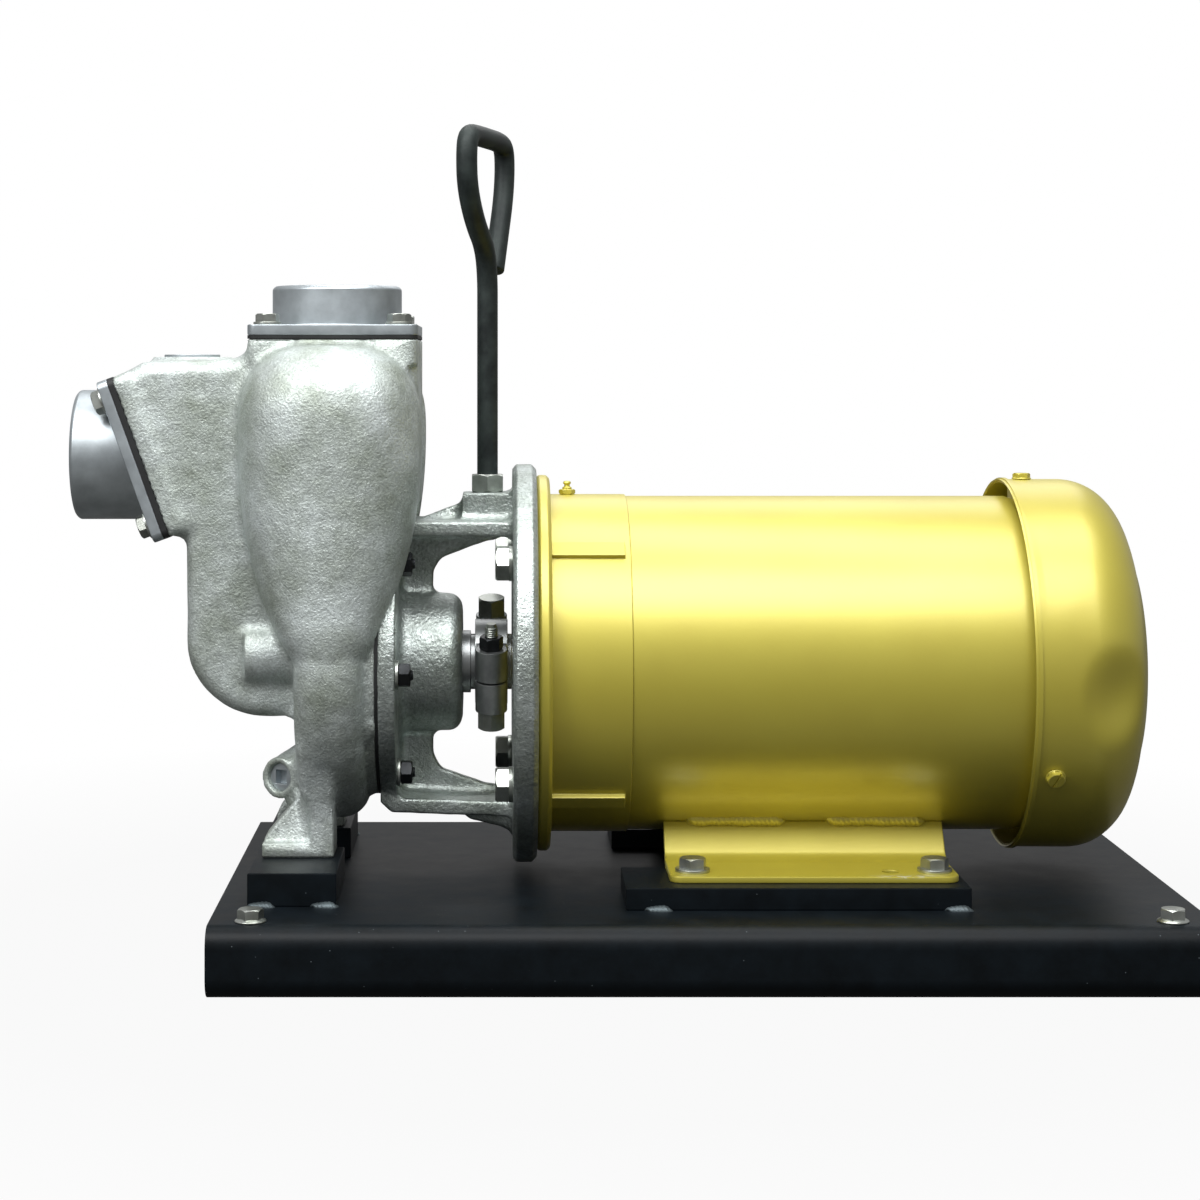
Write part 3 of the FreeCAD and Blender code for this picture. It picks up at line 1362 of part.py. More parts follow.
piece("motor_shaft", motorShaft())
piece("rotor", ring("x", "core_bore - air_gap", "rotor_shaft_radius + sleeve_gap", "core_length", "core_start"))
piece("bearing_outer_rings", *bearingRings(True))
piece("bearing_inner_rings", *bearingRings(False))
piece("bearing_balls", *bearingBalls())
piece("fan", fan())


# Motor feet: bent sheets welded to the shell, bolted to the pads

def motorFoot():
    body = padded(
        "YZ_Plane", "foot_length",
        ("-foot_outer", "-motor_foot_height"), ("-foot_bend_y + 2", "-motor_foot_height"),
        ("-foot_bend_y + 10", "-motor_foot_height + 6"),
        ("-foot_wall_y + 3.3", "-motor_foot_height + foot_wall_rise"),
        ("-foot_wall_y + 7", "-motor_foot_height + foot_wall_rise + 5"),
        ("-foot_wall_y + 3.5", "-motor_foot_height + foot_wall_rise + 7"),
        ("-foot_wall_y", "-motor_foot_height + foot_wall_rise + 2"),
        ("-foot_bend_y + 6", "-motor_foot_height + foot_sheet + 4.5"),
        ("-foot_bend_y", "-motor_foot_height + foot_sheet"), ("-foot_outer", "-motor_foot_height + foot_sheet"),
    )
    moved(body, "foot_start + foot_length / 2", "0", "0")
    holes = [rod("z", "foot_bolt_shank + bore_clearance", "20", x, "-foot_bolt_y", "-motor_foot_height - 5")
             for x in ("foot_bolt_x", "foot_bolt_x + foot_bolt_pitch", "foot_bolt_x + foot_spare")]
    return cut(body, rod("x", "shell_radius", "foot_length + 40", "foot_start - 20"), *holes)


def footBoltPlaces():
    return [(x, y) for x in ("foot_bolt_x", "foot_bolt_x + foot_bolt_pitch") for y in ("-foot_bolt_y", "foot_bolt_y")]


piece("motor_feet", *acrossY(motorFoot()))
piece("motor_foot_washers", *[
    ring("z", "foot_bolt_shank * 2.1", "foot_bolt_shank + bore_clearance", "foot_washer", x, y,
         "-motor_foot_height + foot_sheet") for x, y in footBoltPlaces()])
piece("motor_foot_bolts", *[
    moved(hexBolt("foot_bolt_flats", "foot_bolt_head", "foot_bolt_shank",
                  "foot_washer + foot_sheet + motor_pad_thickness + base_wall - 1"),
          x, y, "-motor_foot_height + foot_sheet + foot_washer") for x, y in footBoltPlaces()])


# Conduit box on the far side, with its lid and an open inlet below

def conduitBox():
    depth = "conduit_reach - conduit_inner"
    outer = block("conduit_start", "conduit_inner", "conduit_bottom", "conduit_length", depth, "conduit_height")
    inner = block("conduit_start + conduit_wall", "conduit_inner + 5", "conduit_bottom + conduit_wall",
                  "conduit_length - 2 * conduit_wall", depth, "conduit_height - 2 * conduit_wall")
    posts = [rod("y", "4", "20", x, "conduit_reach - 20", z) for x, z in conduitScrewPlaces()]
    return cut(
        fuse(cut(outer, inner), *posts), rod("x", "shell_radius", "shell_length", "endbell_length"),
        rod("x", "conduit_inlet", "10", "conduit_start + conduit_length - 6",
            "conduit_inlet_y", "conduit_inlet_z"),
        *[rod("y", "conduit_screw + bore_clearance", "15", x, "conduit_reach - 14", z)
          for x, z in conduitScrewPlaces()])


def conduitScrewPlaces():
    return [(f"conduit_start + {x}", f"conduit_bottom + {z}") for x in ("6", "conduit_length - 6")
            for z in ("6", "conduit_height - 6")]


def conduitLid():
    lid = block("conduit_start - 1", "conduit_reach", "conduit_bottom - 1",
                "conduit_length + 2", "conduit_lid", "conduit_height + 2")
    return cut(lid, *[rod("y", "conduit_screw + bore_clearance", "20", x, "conduit_reach - 5", z)
                      for x, z in conduitScrewPlaces()])


piece("conduit_box", conduitBox())
piece("conduit_cover", conduitLid())
piece("conduit_screws", *[
    fuse(rod("y", "conduit_screw * 2", "2.2", x, "conduit_reach + conduit_lid", z),
         rod("-y", "conduit_screw", "12", x, "conduit_reach + conduit_lid", z)) for x, z in conduitScrewPlaces()])


# Base: formed sheet with return lips, pads welded on it

def baseChannel():
    half, wall = "base_width / 2", "base_wall"
    body = padded(
        "YZ_Plane", "base_length",
        (f"-{half}", "base_top"), (half, "base_top"), (half, "base_floor"),
        (f"{half} - base_lip", "base_floor"), (f"{half} - base_lip", f"base_floor + {wall}"),
        (f"{half} - {wall}", f"base_floor + {wall}"), (f"{half} - {wall}", f"base_top - {wall}"),
        (f"-{half} + {wall}", f"base_top - {wall}"), (f"-{half} + {wall}", f"base_floor + {wall}"),
        (f"-{half} + base_lip", f"base_floor + {wall}"), (f"-{half} + base_lip", "base_floor"),
        (f"-{half}", "base_floor"),
    )
    outerY, innerY = size(half), size(f"{half} - {wall}")
    rounded(body, "base_bend", lambda e: isLongEdge(e, outerY))
    rounded(body, "base_bend - base_wall", lambda e: isLongEdge(e, innerY))
    moved(body, "base_start + base_length / 2", "0", "0")
    return cut(body, *baseHoles("base_top - 10", "20"))


def isLongEdge(edge, y):
    box = edge.BoundBox
    return box.XLength > 10 and box.YLength < 0.01 and abs(abs(box.YMin) - y) < 0.01


def baseBoltPlaces():
    return [(x, y) for x in ("base_start + base_bolt_inset_x", "base_start + base_length - base_bolt_inset_x")
            for y in ("-base_bolt_y", "base_bolt_y")]


def baseHoles(start, length):
    corners = [rod("z", "base_bolt_radius + bore_clearance", length, x, y, start) for x, y in baseBoltPlaces()]
    motor = [rod("z", "foot_bolt_shank + bore_clearance", length, x, y, start) for x, y in footBoltPlaces()]
    return corners + motor + pumpBoltHoles(start, length)


def pumpBoltHoles(start, length):
    return [rod("z", "pump_foot_bolt_radius + bore_clearance", length, "pump_foot_bolt_x", y, start)
            for y in ("-pump_foot_bolt_y", "pump_foot_bolt_y")]


def motorPad():
    pad = block("motor_pad_start", "-motor_pad_inner - motor_pad_width", "base_top",
                "motor_pad_length", "motor_pad_width", "motor_pad_thickness")
    return cut(pad, *[rod("z", "foot_bolt_shank + bore_clearance", "30", x, "-foot_bolt_y", "base_top - 5")
                      for x in ("foot_bolt_x", "foot_bolt_x + foot_bolt_pitch")])


def pumpPad():
    pad = block("pump_pad_start", "-pump_pad_inner - pump_pad_width", "base_top",
                "pump_pad_length", "pump_pad_width", "pump_pad_thickness")
    return cut(pad, rod("z", "pump_foot_bolt_radius + bore_clearance", "40", "pump_foot_bolt_x",
                        "-pump_foot_bolt_y", "base_top - 5"))


piece("base_channel", baseChannel())
piece("motor_pads", *acrossY(motorPad()))
piece("pump_pads", *acrossY(pumpPad()))
piece("pump_foot_bolts", *[
    fuse(hexagon("-z", "pump_foot_bolt_radius * 3", "8", "pump_foot_bolt_x", y, "base_top - base_wall"),
         rod("z", "pump_foot_bolt_radius", "base_wall + pump_pad_thickness + pump_foot_thread - 1.5",
             "pump_foot_bolt_x", y, "base_top - base_wall"))
    for y in ("-pump_foot_bolt_y", "pump_foot_bolt_y")])
piece("base_bolts", *[
    fuse(moved(hexBolt("nut_flats", "base_bolt_head", "base_bolt_radius", "base_bolt_reach"),
               x, y, "base_top + base_bolt_flange"),
         rod("z", "base_bolt_radius * 2.24", "base_bolt_flange", x, y, "base_top")) for x, y in baseBoltPlaces()])


document.recompute()
faults = [item.Name for item in document.Objects if "Invalid" in item.State or "Error" in item.State]
faults += [whole.Label for whole in pieces if whole.Shape.isNull() or not whole.Shape.isValid()]
if faults:
    raise RuntimeError(f"these objects failed: {faults}")

os.makedirs("parts", exist_ok=True)
for whole in pieces:
    whole.Shape.exportStep(f"parts/{whole.Label}.step")
print(f"{len(pieces)} pieces written")
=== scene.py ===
import json
import math

import bmesh
import bpy
from mathutils import Matrix, Vector, noise
from mathutils.bvhtree import BVHTree


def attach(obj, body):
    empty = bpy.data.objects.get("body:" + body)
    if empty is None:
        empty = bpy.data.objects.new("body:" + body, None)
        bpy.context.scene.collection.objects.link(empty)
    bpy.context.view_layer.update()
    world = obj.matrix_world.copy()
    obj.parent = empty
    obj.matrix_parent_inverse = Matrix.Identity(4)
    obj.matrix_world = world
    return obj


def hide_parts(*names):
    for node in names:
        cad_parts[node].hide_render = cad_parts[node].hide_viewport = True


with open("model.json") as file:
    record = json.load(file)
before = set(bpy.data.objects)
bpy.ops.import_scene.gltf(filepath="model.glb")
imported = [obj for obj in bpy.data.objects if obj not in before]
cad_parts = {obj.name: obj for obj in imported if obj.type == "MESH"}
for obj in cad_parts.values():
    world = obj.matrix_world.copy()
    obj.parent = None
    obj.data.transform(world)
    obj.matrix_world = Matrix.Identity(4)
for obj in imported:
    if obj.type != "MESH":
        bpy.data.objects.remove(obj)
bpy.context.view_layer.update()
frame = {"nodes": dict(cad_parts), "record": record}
print("frame loaded,", len(frame["nodes"]), "nodes")

# Pieces are modelled in millimetres from the middle of the motor's mounting face, on the shaft's axis,
# +X to the fan end and +Z up, and moved to the frame when they are finished
mm = 0.001
faceX = -46.925
axisZ = 167.0
toFrame = Matrix.Translation((faceX * mm, 0, axisZ * mm)) @ Matrix.Diagonal((mm, mm, mm, 1))

slotOf = {entry["node"]: entry["material_slot"] for entry in frame["record"]["subparts"]}
bodyOf = {node: body for body, nodes in frame["record"]["behaviour"]["bodies"].items() for node in nodes}


def linear(code):
    values = [int(code[i:i + 2], 16) / 255 for i in (1, 3, 5)]
    return [v / 12.92 if v <= 0.04045 else ((v + 0.055) / 1.055) ** 2.4 for v in values] + [1]


def addNode(tree, kind, settings=None, links=None):
    node = tree.nodes.new(kind)
    for key, value in (settings or {}).items():
        if isinstance(key, str) and hasattr(node, key):
            setattr(node, key, value)
        else:
            node.inputs[key].default_value = value
    for socket, source in (links or {}).items():
        tree.links.new(source, node.inputs[socket])
    return node


def perMetre(size):
    # a pattern's scale from its real size in millimetres
    return 1000 / size


def newMaterial(name):
    material = bpy.data.materials.new(name)
    material.use_nodes = True
    tree = material.node_tree
    tree.nodes.clear()
    shader = addNode(tree, "ShaderNodeBsdfPrincipled")
    addNode(tree, "ShaderNodeOutputMaterial", links={"Surface": shader.outputs[0]})
    place = addNode(tree, "ShaderNodeTexCoord").outputs["Object"]
    return material, tree, shader, place


# Investment-cast stainless, bead blasted: a satin metal with a grainy skin and soft unevenness below it
castSteel = {
    "castCasing": {
        "pale": "#ccd4d3", "dull": "#99a196", "metallic": 0.58, "smooth": 0.38, "rough": 0.6, "relief": 0.85,
        "grain": 1.4, "lump": 6.0, "cloud": 40.0, "pit": 7.0,   # mm
    },
    "castBracket": {
        "pale": "#c2cac8", "dull": "#959d95", "metallic": 0.85, "smooth": 0.3, "rough": 0.5, "relief": 1.0,
        "grain": 1.9, "lump": 7.5, "cloud": 30.0, "pit": 9.0,   # mm
    },
    "pitRadius": 0.12,              # of the distance between two pits
    "speckle": (0.76, 1.12),        # how far the grain darkens and lightens the tint
    "heights": {"lump": 1.0, "pit": 0.25, "grain": 0.6},   # mm
}


def castStainless(name):
    look = castSteel[name]
    darkest, lightest = castSteel["speckle"]
    heights = castSteel["heights"]
    material, tree, shader, place = newMaterial(name)
    grain = addNode(tree, "ShaderNodeTexNoise",
                    {"Scale": perMetre(look["grain"]), "Detail": 3, "Roughness": 0.62}, {"Vector": place})
    lump = addNode(tree, "ShaderNodeTexNoise",
                   {"Scale": perMetre(look["lump"]), "Detail": 4, "Roughness": 0.55}, {"Vector": place})
    cloud = addNode(tree, "ShaderNodeTexNoise",
                    {"Scale": perMetre(look["cloud"]), "Detail": 5, "Roughness": 0.6}, {"Vector": place})
    pits = addNode(tree, "ShaderNodeTexVoronoi",
                   {"Scale": perMetre(look["pit"]), "Randomness": 1.0}, {"Vector": place})
    pitDepth = addNode(tree, "ShaderNodeMapRange",
                       {"From Min": 0.0, "From Max": castSteel["pitRadius"], "To Min": -1.0, "To Max": 0.0},
                       {"Value": pits.outputs["Distance"]})
    cloudSpread = addNode(tree, "ShaderNodeMapRange", {"From Min": 0.32, "From Max": 0.68},
                          {"Value": cloud.outputs["Fac"]})
    tint = addNode(tree, "ShaderNodeMix",
                   {"data_type": "RGBA", 6: linear(look["dull"]), 7: linear(look["pale"])},
                   {0: cloudSpread.outputs[0]})
    speck = addNode(tree, "ShaderNodeMapRange",
                    {"From Min": 0.32, "From Max": 0.68, "To Min": darkest, "To Max": lightest},
                    {"Value": grain.outputs["Fac"]})
    fleck = addNode(tree, "ShaderNodeVectorMath", {"operation": "SCALE"},
                    {0: tint.outputs[2], "Scale": speck.outputs[0]})
    tree.links.new(fleck.outputs[0], shader.inputs["Base Color"])
    roughness = addNode(tree, "ShaderNodeMapRange",
                        {"From Min": 0.3, "From Max": 0.7, "To Min": look["rough"], "To Max": look["smooth"]},
                        {"Value": lump.outputs["Fac"]})
    tree.links.new(roughness.outputs[0], shader.inputs["Roughness"])
    low = addNode(tree, "ShaderNodeBump",
                  {"Strength": 0.6 * look["relief"], "Distance": heights["lump"] * mm},
                  {"Height": lump.outputs["Fac"]})
    pit = addNode(tree, "ShaderNodeBump", {"Strength": 0.6, "Distance": heights["pit"] * mm},
                  {"Height": pitDepth.outputs[0], "Normal": low.outputs[0]})
    fine = addNode(tree, "ShaderNodeBump", {"Strength": look["relief"], "Distance": heights["grain"] * mm},
                   {"Height": grain.outputs["Fac"], "Normal": pit.outputs[0]})
    tree.links.new(fine.outputs[0], shader.inputs["Normal"])
    shader.inputs["Metallic"].default_value = look["metallic"]
    return material


# Satin metallic enamel, sprayed: a soft wide highlight, faint orange peel and fine flake
goldEnamel = {
    "paint": "#cac046", "shade": "#b8a936", "metallic": 0.5, "roughness": 0.44,
    "flakeRoughness": (-0.05, 0.07), "peel": 2.2, "flake": 0.7, "cloud": 60.0, "peelHeight": 0.2,   # mm
    "coat": {"Coat Weight": 0.8, "Coat Roughness": 0.34, "Coat IOR": 1.7},
    "scratch": {
        "tone": "#dcdccb", "bareAbove": (0.53, 0.58),
        "middle": (162.0, -108.5, 57.0), "reach": (23.0, 3.4, 3.0), "wide": 0.9,   # mm, in the frame
        "stretch": 0.16,   # strokes run along X
    },
}


def goldPaint():
    look = goldEnamel
    material, tree, shader, place = newMaterial("goldPaint")
    peel = addNode(tree, "ShaderNodeTexNoise", {"Scale": perMetre(look["peel"]), "Detail": 2},
                   {"Vector": place})
    flake = addNode(tree, "ShaderNodeTexVoronoi", {"Scale": perMetre(look["flake"])}, {"Vector": place})
    cloud = addNode(tree, "ShaderNodeTexNoise", {"Scale": perMetre(look["cloud"]), "Detail": 4},
                    {"Vector": place})
    tint = addNode(tree, "ShaderNodeMix",
                   {"data_type": "RGBA", 6: linear(look["shade"]), 7: linear(look["paint"])},
                   {0: cloud.outputs["Fac"]})
    # paint scraped off the near foot's edge, in strokes along it
    scratch = look["scratch"]
    middle = [value * mm for value in scratch["middle"]]
    reach = [value * mm for value in scratch["reach"]]
    local = addNode(tree, "ShaderNodeVectorMath", {"operation": "SUBTRACT", 1: middle}, {0: place})
    inReach = addNode(tree, "ShaderNodeVectorMath", {"operation": "DIVIDE", 1: reach}, {0: local.outputs[0]})
    away = addNode(tree, "ShaderNodeVectorMath", {"operation": "LENGTH"}, {0: inReach.outputs[0]})
    along = addNode(tree, "ShaderNodeVectorMath", {"operation": "MULTIPLY", 1: (scratch["stretch"], 1, 1)},
                    {0: place})
    strokes = addNode(tree, "ShaderNodeTexNoise", {"Scale": perMetre(scratch["wide"]), "Detail": 2},
                      {"Vector": along.outputs[0]})
    near = addNode(tree, "ShaderNodeMapRange", {"From Min": 1.0, "From Max": 0.6},
                   {"Value": away.outputs["Value"]})
    faint, clear = scratch["bareAbove"]
    bare = addNode(tree, "ShaderNodeMapRange", {"From Min": faint, "From Max": clear},
                   {"Value": strokes.outputs["Fac"]})
    worn = addNode(tree, "ShaderNodeMath", {"operation": "MULTIPLY"},
                   {0: near.outputs[0], 1: bare.outputs[0]})
    colour = addNode(tree, "ShaderNodeMix", {"data_type": "RGBA", 7: linear(scratch["tone"])},
                     {0: worn.outputs[0], 6: tint.outputs[2]})
    tree.links.new(colour.outputs[2], shader.inputs["Base Color"])
    less, more = look["flakeRoughness"]
    roughness = addNode(tree, "ShaderNodeMapRange",
                        {"To Min": look["roughness"] + less, "To Max": look["roughness"] + more},
                        {"Value": flake.outputs["Distance"]})
    tree.links.new(roughness.outputs[0], shader.inputs["Roughness"])
    skin = addNode(tree, "ShaderNodeBump", {"Strength": 0.14, "Distance": look["peelHeight"] * mm},
                   {"Height": peel.outputs["Fac"]})
    tree.links.new(skin.outputs[0], shader.inputs["Normal"])
    shader.inputs["Metallic"].default_value = look["metallic"]
    for socket, value in look["coat"].items():
        shader.inputs[socket].default_value = value
    return material


# Plainer finishes: two tones in clouds, and a grain that only roughens the highlight
plainFinishes = {
    # turned stainless: pale and silky
    "turnedSteel": {"tones": ("#a2a9ad", "#bfc7cb"), "metallic": 0.9, "roughness": (0.36, 0.5),
                    "grain": 0.8, "bump": 0.15},
    # zinc plate: bright, with a small sharp highlight
    "brightZinc": {"tones": ("#949890", "#c6cac5"), "metallic": 0.95, "roughness": (0.26, 0.38),
                   "grain": 1.0, "bump": 0.12},
    # black oxide on steel: dark, with oily highlights
    "blackOxide": {"tones": ("#1d1e20", "#3a3c3e"), "metallic": 0.85, "roughness": (0.26, 0.48),
                   "grain": 0.9, "bump": 0.25},
    # ground steel: grey and even
    "groundSteel": {"tones": ("#85898a", "#b3b6b6"), "metallic": 0.9, "roughness": (0.32, 0.46),
                    "grain": 0.8, "bump": 0.1},
    # moulded nitrile rubber: matt black
    "nitrileRubber": {"tones": ("#0d0e0f", "#1d1f20"), "metallic": 0.0, "roughness": (0.5, 0.7),
                      "grain": 0.9, "bump": 0.3},
    # lapped carbon: dark, with a dull sheen
    "carbonFace": {"tones": ("#1b1c1e", "#2f3133"), "metallic": 0.0, "roughness": (0.3, 0.45),
                   "grain": 1.2, "bump": 0.1},
    # bent rod with forge scale, painted black: uneven and almost matt
    "forgedBlack": {"tones": ("#131819", "#303836"), "metallic": 0.3, "roughness": (0.42, 0.62),
                    "grain": 1.4, "bump": 0.5, "gloss": 0.35},
    # stacked laminations: dull grey
    "laminatedSteel": {"tones": ("#5b5d5e", "#8b8d8e"), "metallic": 0.9, "roughness": (0.4, 0.55),
                       "grain": 0.6, "bump": 0.3},
    # varnished windings: red-brown and glossy
    "enamelledCopper": {"tones": ("#7a3416", "#b4602d"), "metallic": 0.6, "roughness": (0.3, 0.45),
                        "grain": 1.6, "bump": 0.5},
    # moulded glass-filled nylon: black, with a faint grain
    "glassNylon": {"tones": ("#17181a", "#26282a"), "metallic": 0.0, "roughness": (0.38, 0.5),
                   "grain": 1.2, "bump": 0.15},
    # powder coat: blue-black and satin, with pale dust on it
    "satinBlack": {"tones": ("#070b0e", "#0e151a"), "metallic": 0.0, "roughness": (0.36, 0.5),
                   "grain": 1.8, "bump": 0.2, "gloss": 0.15, "dust": "#5d6569"},
    # painted weld metal: rougher and paler than the base
    "weldScale": {"tones": ("#2f3639", "#5f6a6e"), "metallic": 0.6, "roughness": (0.35, 0.6),
                  "grain": 1.6, "bump": 0.7},
}
# Sizes in mm, apart from the dust's radius, which is a share of its spacing
plainPattern = {"cloud": 18, "dustSpacing": 8, "dustRadius": (0.05, 0.02), "grainHeight": 0.2}


def plainFinish(name):
    look = plainFinishes[name]
    material, tree, shader, place = newMaterial(name)
    grain = addNode(tree, "ShaderNodeTexNoise",
                    {"Scale": perMetre(look["grain"]), "Detail": 3, "Roughness": 0.6}, {"Vector": place})
    cloud = addNode(tree, "ShaderNodeTexNoise",
                    {"Scale": perMetre(plainPattern["cloud"]), "Detail": 5, "Roughness": 0.62},
                    {"Vector": place})
    spread = addNode(tree, "ShaderNodeMapRange", {"From Min": 0.3, "From Max": 0.7},
                     {"Value": cloud.outputs["Fac"]})
    tint = addNode(tree, "ShaderNodeMix",
                   {"data_type": "RGBA", 6: linear(look["tones"][0]), 7: linear(look["tones"][1])},
                   {0: spread.outputs[0]})
    colour = tint.outputs[2]
    if "dust" in look:
        # scattered specks, each some tenths of a millimetre across
        faint, solid = plainPattern["dustRadius"]
        specks = addNode(tree, "ShaderNodeTexVoronoi", {"Scale": perMetre(plainPattern["dustSpacing"])},
                         {"Vector": place})
        spot = addNode(tree, "ShaderNodeMapRange", {"From Min": faint, "From Max": solid},
                       {"Value": specks.outputs["Distance"]})
        colour = addNode(tree, "ShaderNodeMix", {"data_type": "RGBA", 7: linear(look["dust"])},
                         {0: spot.outputs[0], 6: colour}).outputs[2]
    tree.links.new(colour, shader.inputs["Base Color"])
    smoothest, roughest = look["roughness"]
    roughness = addNode(tree, "ShaderNodeMapRange", {"To Min": smoothest, "To Max": roughest},
                        {"Value": cloud.outputs["Fac"]})
    tree.links.new(roughness.outputs[0], shader.inputs["Roughness"])
    skin = addNode(tree, "ShaderNodeBump",
                   {"Strength": look["bump"], "Distance": plainPattern["grainHeight"] * mm},
                   {"Height": grain.outputs["Fac"]})
    tree.links.new(skin.outputs[0], shader.inputs["Normal"])
    shader.inputs["Metallic"].default_value = look["metallic"]
    if "gloss" in look:
        shader.inputs["Specular IOR Level"].default_value = look["gloss"]
    return material


finishes = {
    "cast_stainless": castStainless("castCasing"),
    "gold_paint": goldPaint(),
    "machined_stainless": plainFinish("turnedSteel"),
    "bright_fastener": plainFinish("brightZinc"),
    "dark_fastener": plainFinish("blackOxide"),
    "machined_steel": plainFinish("groundSteel"),
    "black_rubber": plainFinish("nitrileRubber"),
    "seal_ring": plainFinish("carbonFace"),
    "black_handle": plainFinish("forgedBlack"),
    "core_steel": plainFinish("laminatedSteel"),
    "copper": plainFinish("enamelledCopper"),
    "fan_plastic": plainFinish("glassNylon"),
    "black_base": plainFinish("satinBlack"),
}
bracketFinish = castStainless("castBracket")
weldScale = plainFinish("weldScale")

for nodeName, carried in frame["nodes"].items():
    for place in range(len(carried.material_slots)):
        carried.material_slots[place].material = finishes[slotOf[nodeName]]
print("finishes on", len(slotOf), "nodes")


def copyNode(node):
    shape = bmesh.new()
    shape.from_mesh(frame["nodes"][node].data)
    bmesh.ops.transform(shape, matrix=toFrame.inverted(), verts=shape.verts)
    bmesh.ops.remove_doubles(shape, verts=shape.verts, dist=0.002)
    return shape


def finishPiece(name, shape, node, finish=None, crease=35, replaced=True, recalculate=True,
                flatFaces=False):
    if recalculate:
        bmesh.ops.recalc_face_normals(shape, faces=shape.faces)
    bmesh.ops.transform(shape, matrix=toFrame, verts=shape.verts)
    for face in shape.faces:
        face.smooth = True
        face.material_index = 0
    for edge in shape.edges:
        edge.smooth = edge.calc_face_angle(0) < math.radians(crease)
    mesh = bpy.data.meshes.new(name)
    shape.to_mesh(mesh)
    shape.free()
    piece = bpy.data.objects.new(name, mesh)
    bpy.context.scene.collection.objects.link(piece)
    mesh.materials.append(finish or finishes[slotOf[node]])
    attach(piece, bodyOf[node])
    if replaced:
        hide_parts(node)
    if flatFaces:
        evened = piece.modifiers.new("flatFaces", "WEIGHTED_NORMAL")
        evened.keep_sharp = True


def withModifiers(shape, *steps):
    mesh = bpy.data.meshes.new("work")
    shape.to_mesh(mesh)
    shape.free()
    work = bpy.data.objects.new("work", mesh)
    bpy.context.scene.collection.objects.link(work)
    for kind, settings in steps:
        modifier = work.modifiers.new(kind, kind)
        for key, value in settings.items():
            setattr(modifier, key, value)
    result = bmesh.new()
    depsgraph = bpy.context.evaluated_depsgraph_get()
    result.from_object(work, depsgraph)
    bpy.data.objects.remove(work)
    bpy.data.meshes.remove(mesh)
    return result


def bevelEdges(shape, edges, width, segments):
    bmesh.ops.bevel(shape, geom=edges, offset=width, offset_type="OFFSET", segments=segments, profile=0.5,
                    affect="EDGES", material=-1, clamp_overlap=False)


def mergeFlats(shape):
    bmesh.ops.dissolve_limit(shape, angle_limit=math.radians(1), verts=shape.verts, edges=shape.edges)


def softenEdges(shape, width):
    mergeFlats(shape)
    sharp = math.radians(30)
    edges = [edge for edge in shape.edges if edge.is_manifold and edge.calc_face_angle(0) > sharp]
    bevelEdges(shape, edges, width, 2)
    return shape


def cutAway(shape, cutters, **settings):
    # takes the cutters out of the shape
    mesh = bpy.data.meshes.new("cutters")
    cutters.to_mesh(mesh)
    cutters.free()
    holder = bpy.data.objects.new("cutters", mesh)
    bpy.context.scene.collection.objects.link(holder)
    settings.update({"operation": "DIFFERENCE", "object": holder, "solver": "EXACT"})
    shape = withModifiers(shape, ("BOOLEAN", settings))
    bpy.data.objects.remove(holder)
    return shape


def facing(axis, x, y, z):
    turn = Vector(axis).to_track_quat("Z", "Y").to_matrix().to_4x4()
    return Matrix.Translation((x, y, z)) @ turn


def turnProfile(shape, place, profile, steps, closed=False):
    # profile: (radius, height, rounding), turned about the local Z axis
    corners = [shape.verts.new((radius, 0, height)) for radius, height, rounding in profile]
    pairs = list(zip(corners, corners[1:] + corners[:1] if closed else corners[1:]))
    edges = [shape.edges.new(pair) for pair in pairs]
    wire = set(corners)
    for corner, (radius, height, rounding) in zip(corners, profile):
        if rounding:
            made = bmesh.ops.bevel(shape, geom=[corner], offset=rounding, offset_type="OFFSET", segments=4,
                                   profile=0.5, affect="VERTICES", material=-1, clamp_overlap=False)
            wire.discard(corner)
            wire.update(made["verts"])
    wire = [corner for corner in wire if corner.is_valid]
    edges = list({edge for corner in wire for edge in corner.link_edges})
    bmesh.ops.spin(shape, geom=wire + edges, cent=(0, 0, 0), axis=(0, 0, 1), angle=2 * math.pi, steps=steps,
                   use_merge=True, use_duplicate=False)
    placeNew(shape, wire, place)


def placeNew(shape, seeds, place):
    # moves everything that hangs together with the seed vertices
    found = set()
    queue = [seed for seed in seeds if seed.is_valid]
    while queue:
        corner = queue.pop()
        if corner in found:
            continue
        found.add(corner)
        queue += [edge.other_vert(corner) for edge in corner.link_edges]
    found = list(found)
    bmesh.ops.remove_doubles(shape, verts=found, dist=0.001)
    found = [corner for corner in found if corner.is_valid]
    bmesh.ops.transform(shape, matrix=place, verts=found)


# Every hexagon: points around it, the cone's slope, and the end face's share of the width across flats
hexagon = {"points": 72, "slope": 0.75, "face": 0.96}


def hexForm(shape, place, flats, height, bothEnds=False):
    # a hexagon with its corners turned off by a cone, on one end or both; a corner points along local X
    count, slope = hexagon["points"], hexagon["slope"]
    flat = flats / 2 * hexagon["face"]
    # each ring: whether it follows the hexagon or the round end face, its height, and its slope outwards
    levels = [(False, 0, 0)] if bothEnds else []
    levels += [(True, 0, slope if bothEnds else 0), (True, height, -slope), (False, height, 0)]
    rings = []
    for whole, level, tilt in levels:
        ring = []
        for number in range(count):
            angle = math.pi * number / (count / 2)
            outline = flats / 2 / math.cos(angle % (math.pi / 3) - math.pi / 6)
            reach = outline if whole else flat
            rise = level + tilt * (outline - flat)
            corner = Vector((reach * math.cos(angle), reach * math.sin(angle), rise))
            ring.append(shape.verts.new(place @ corner))
        rings.append(ring)
    shape.faces.new(rings[0][::-1])
    shape.faces.new(rings[-1])
    joinRings(shape, rings)


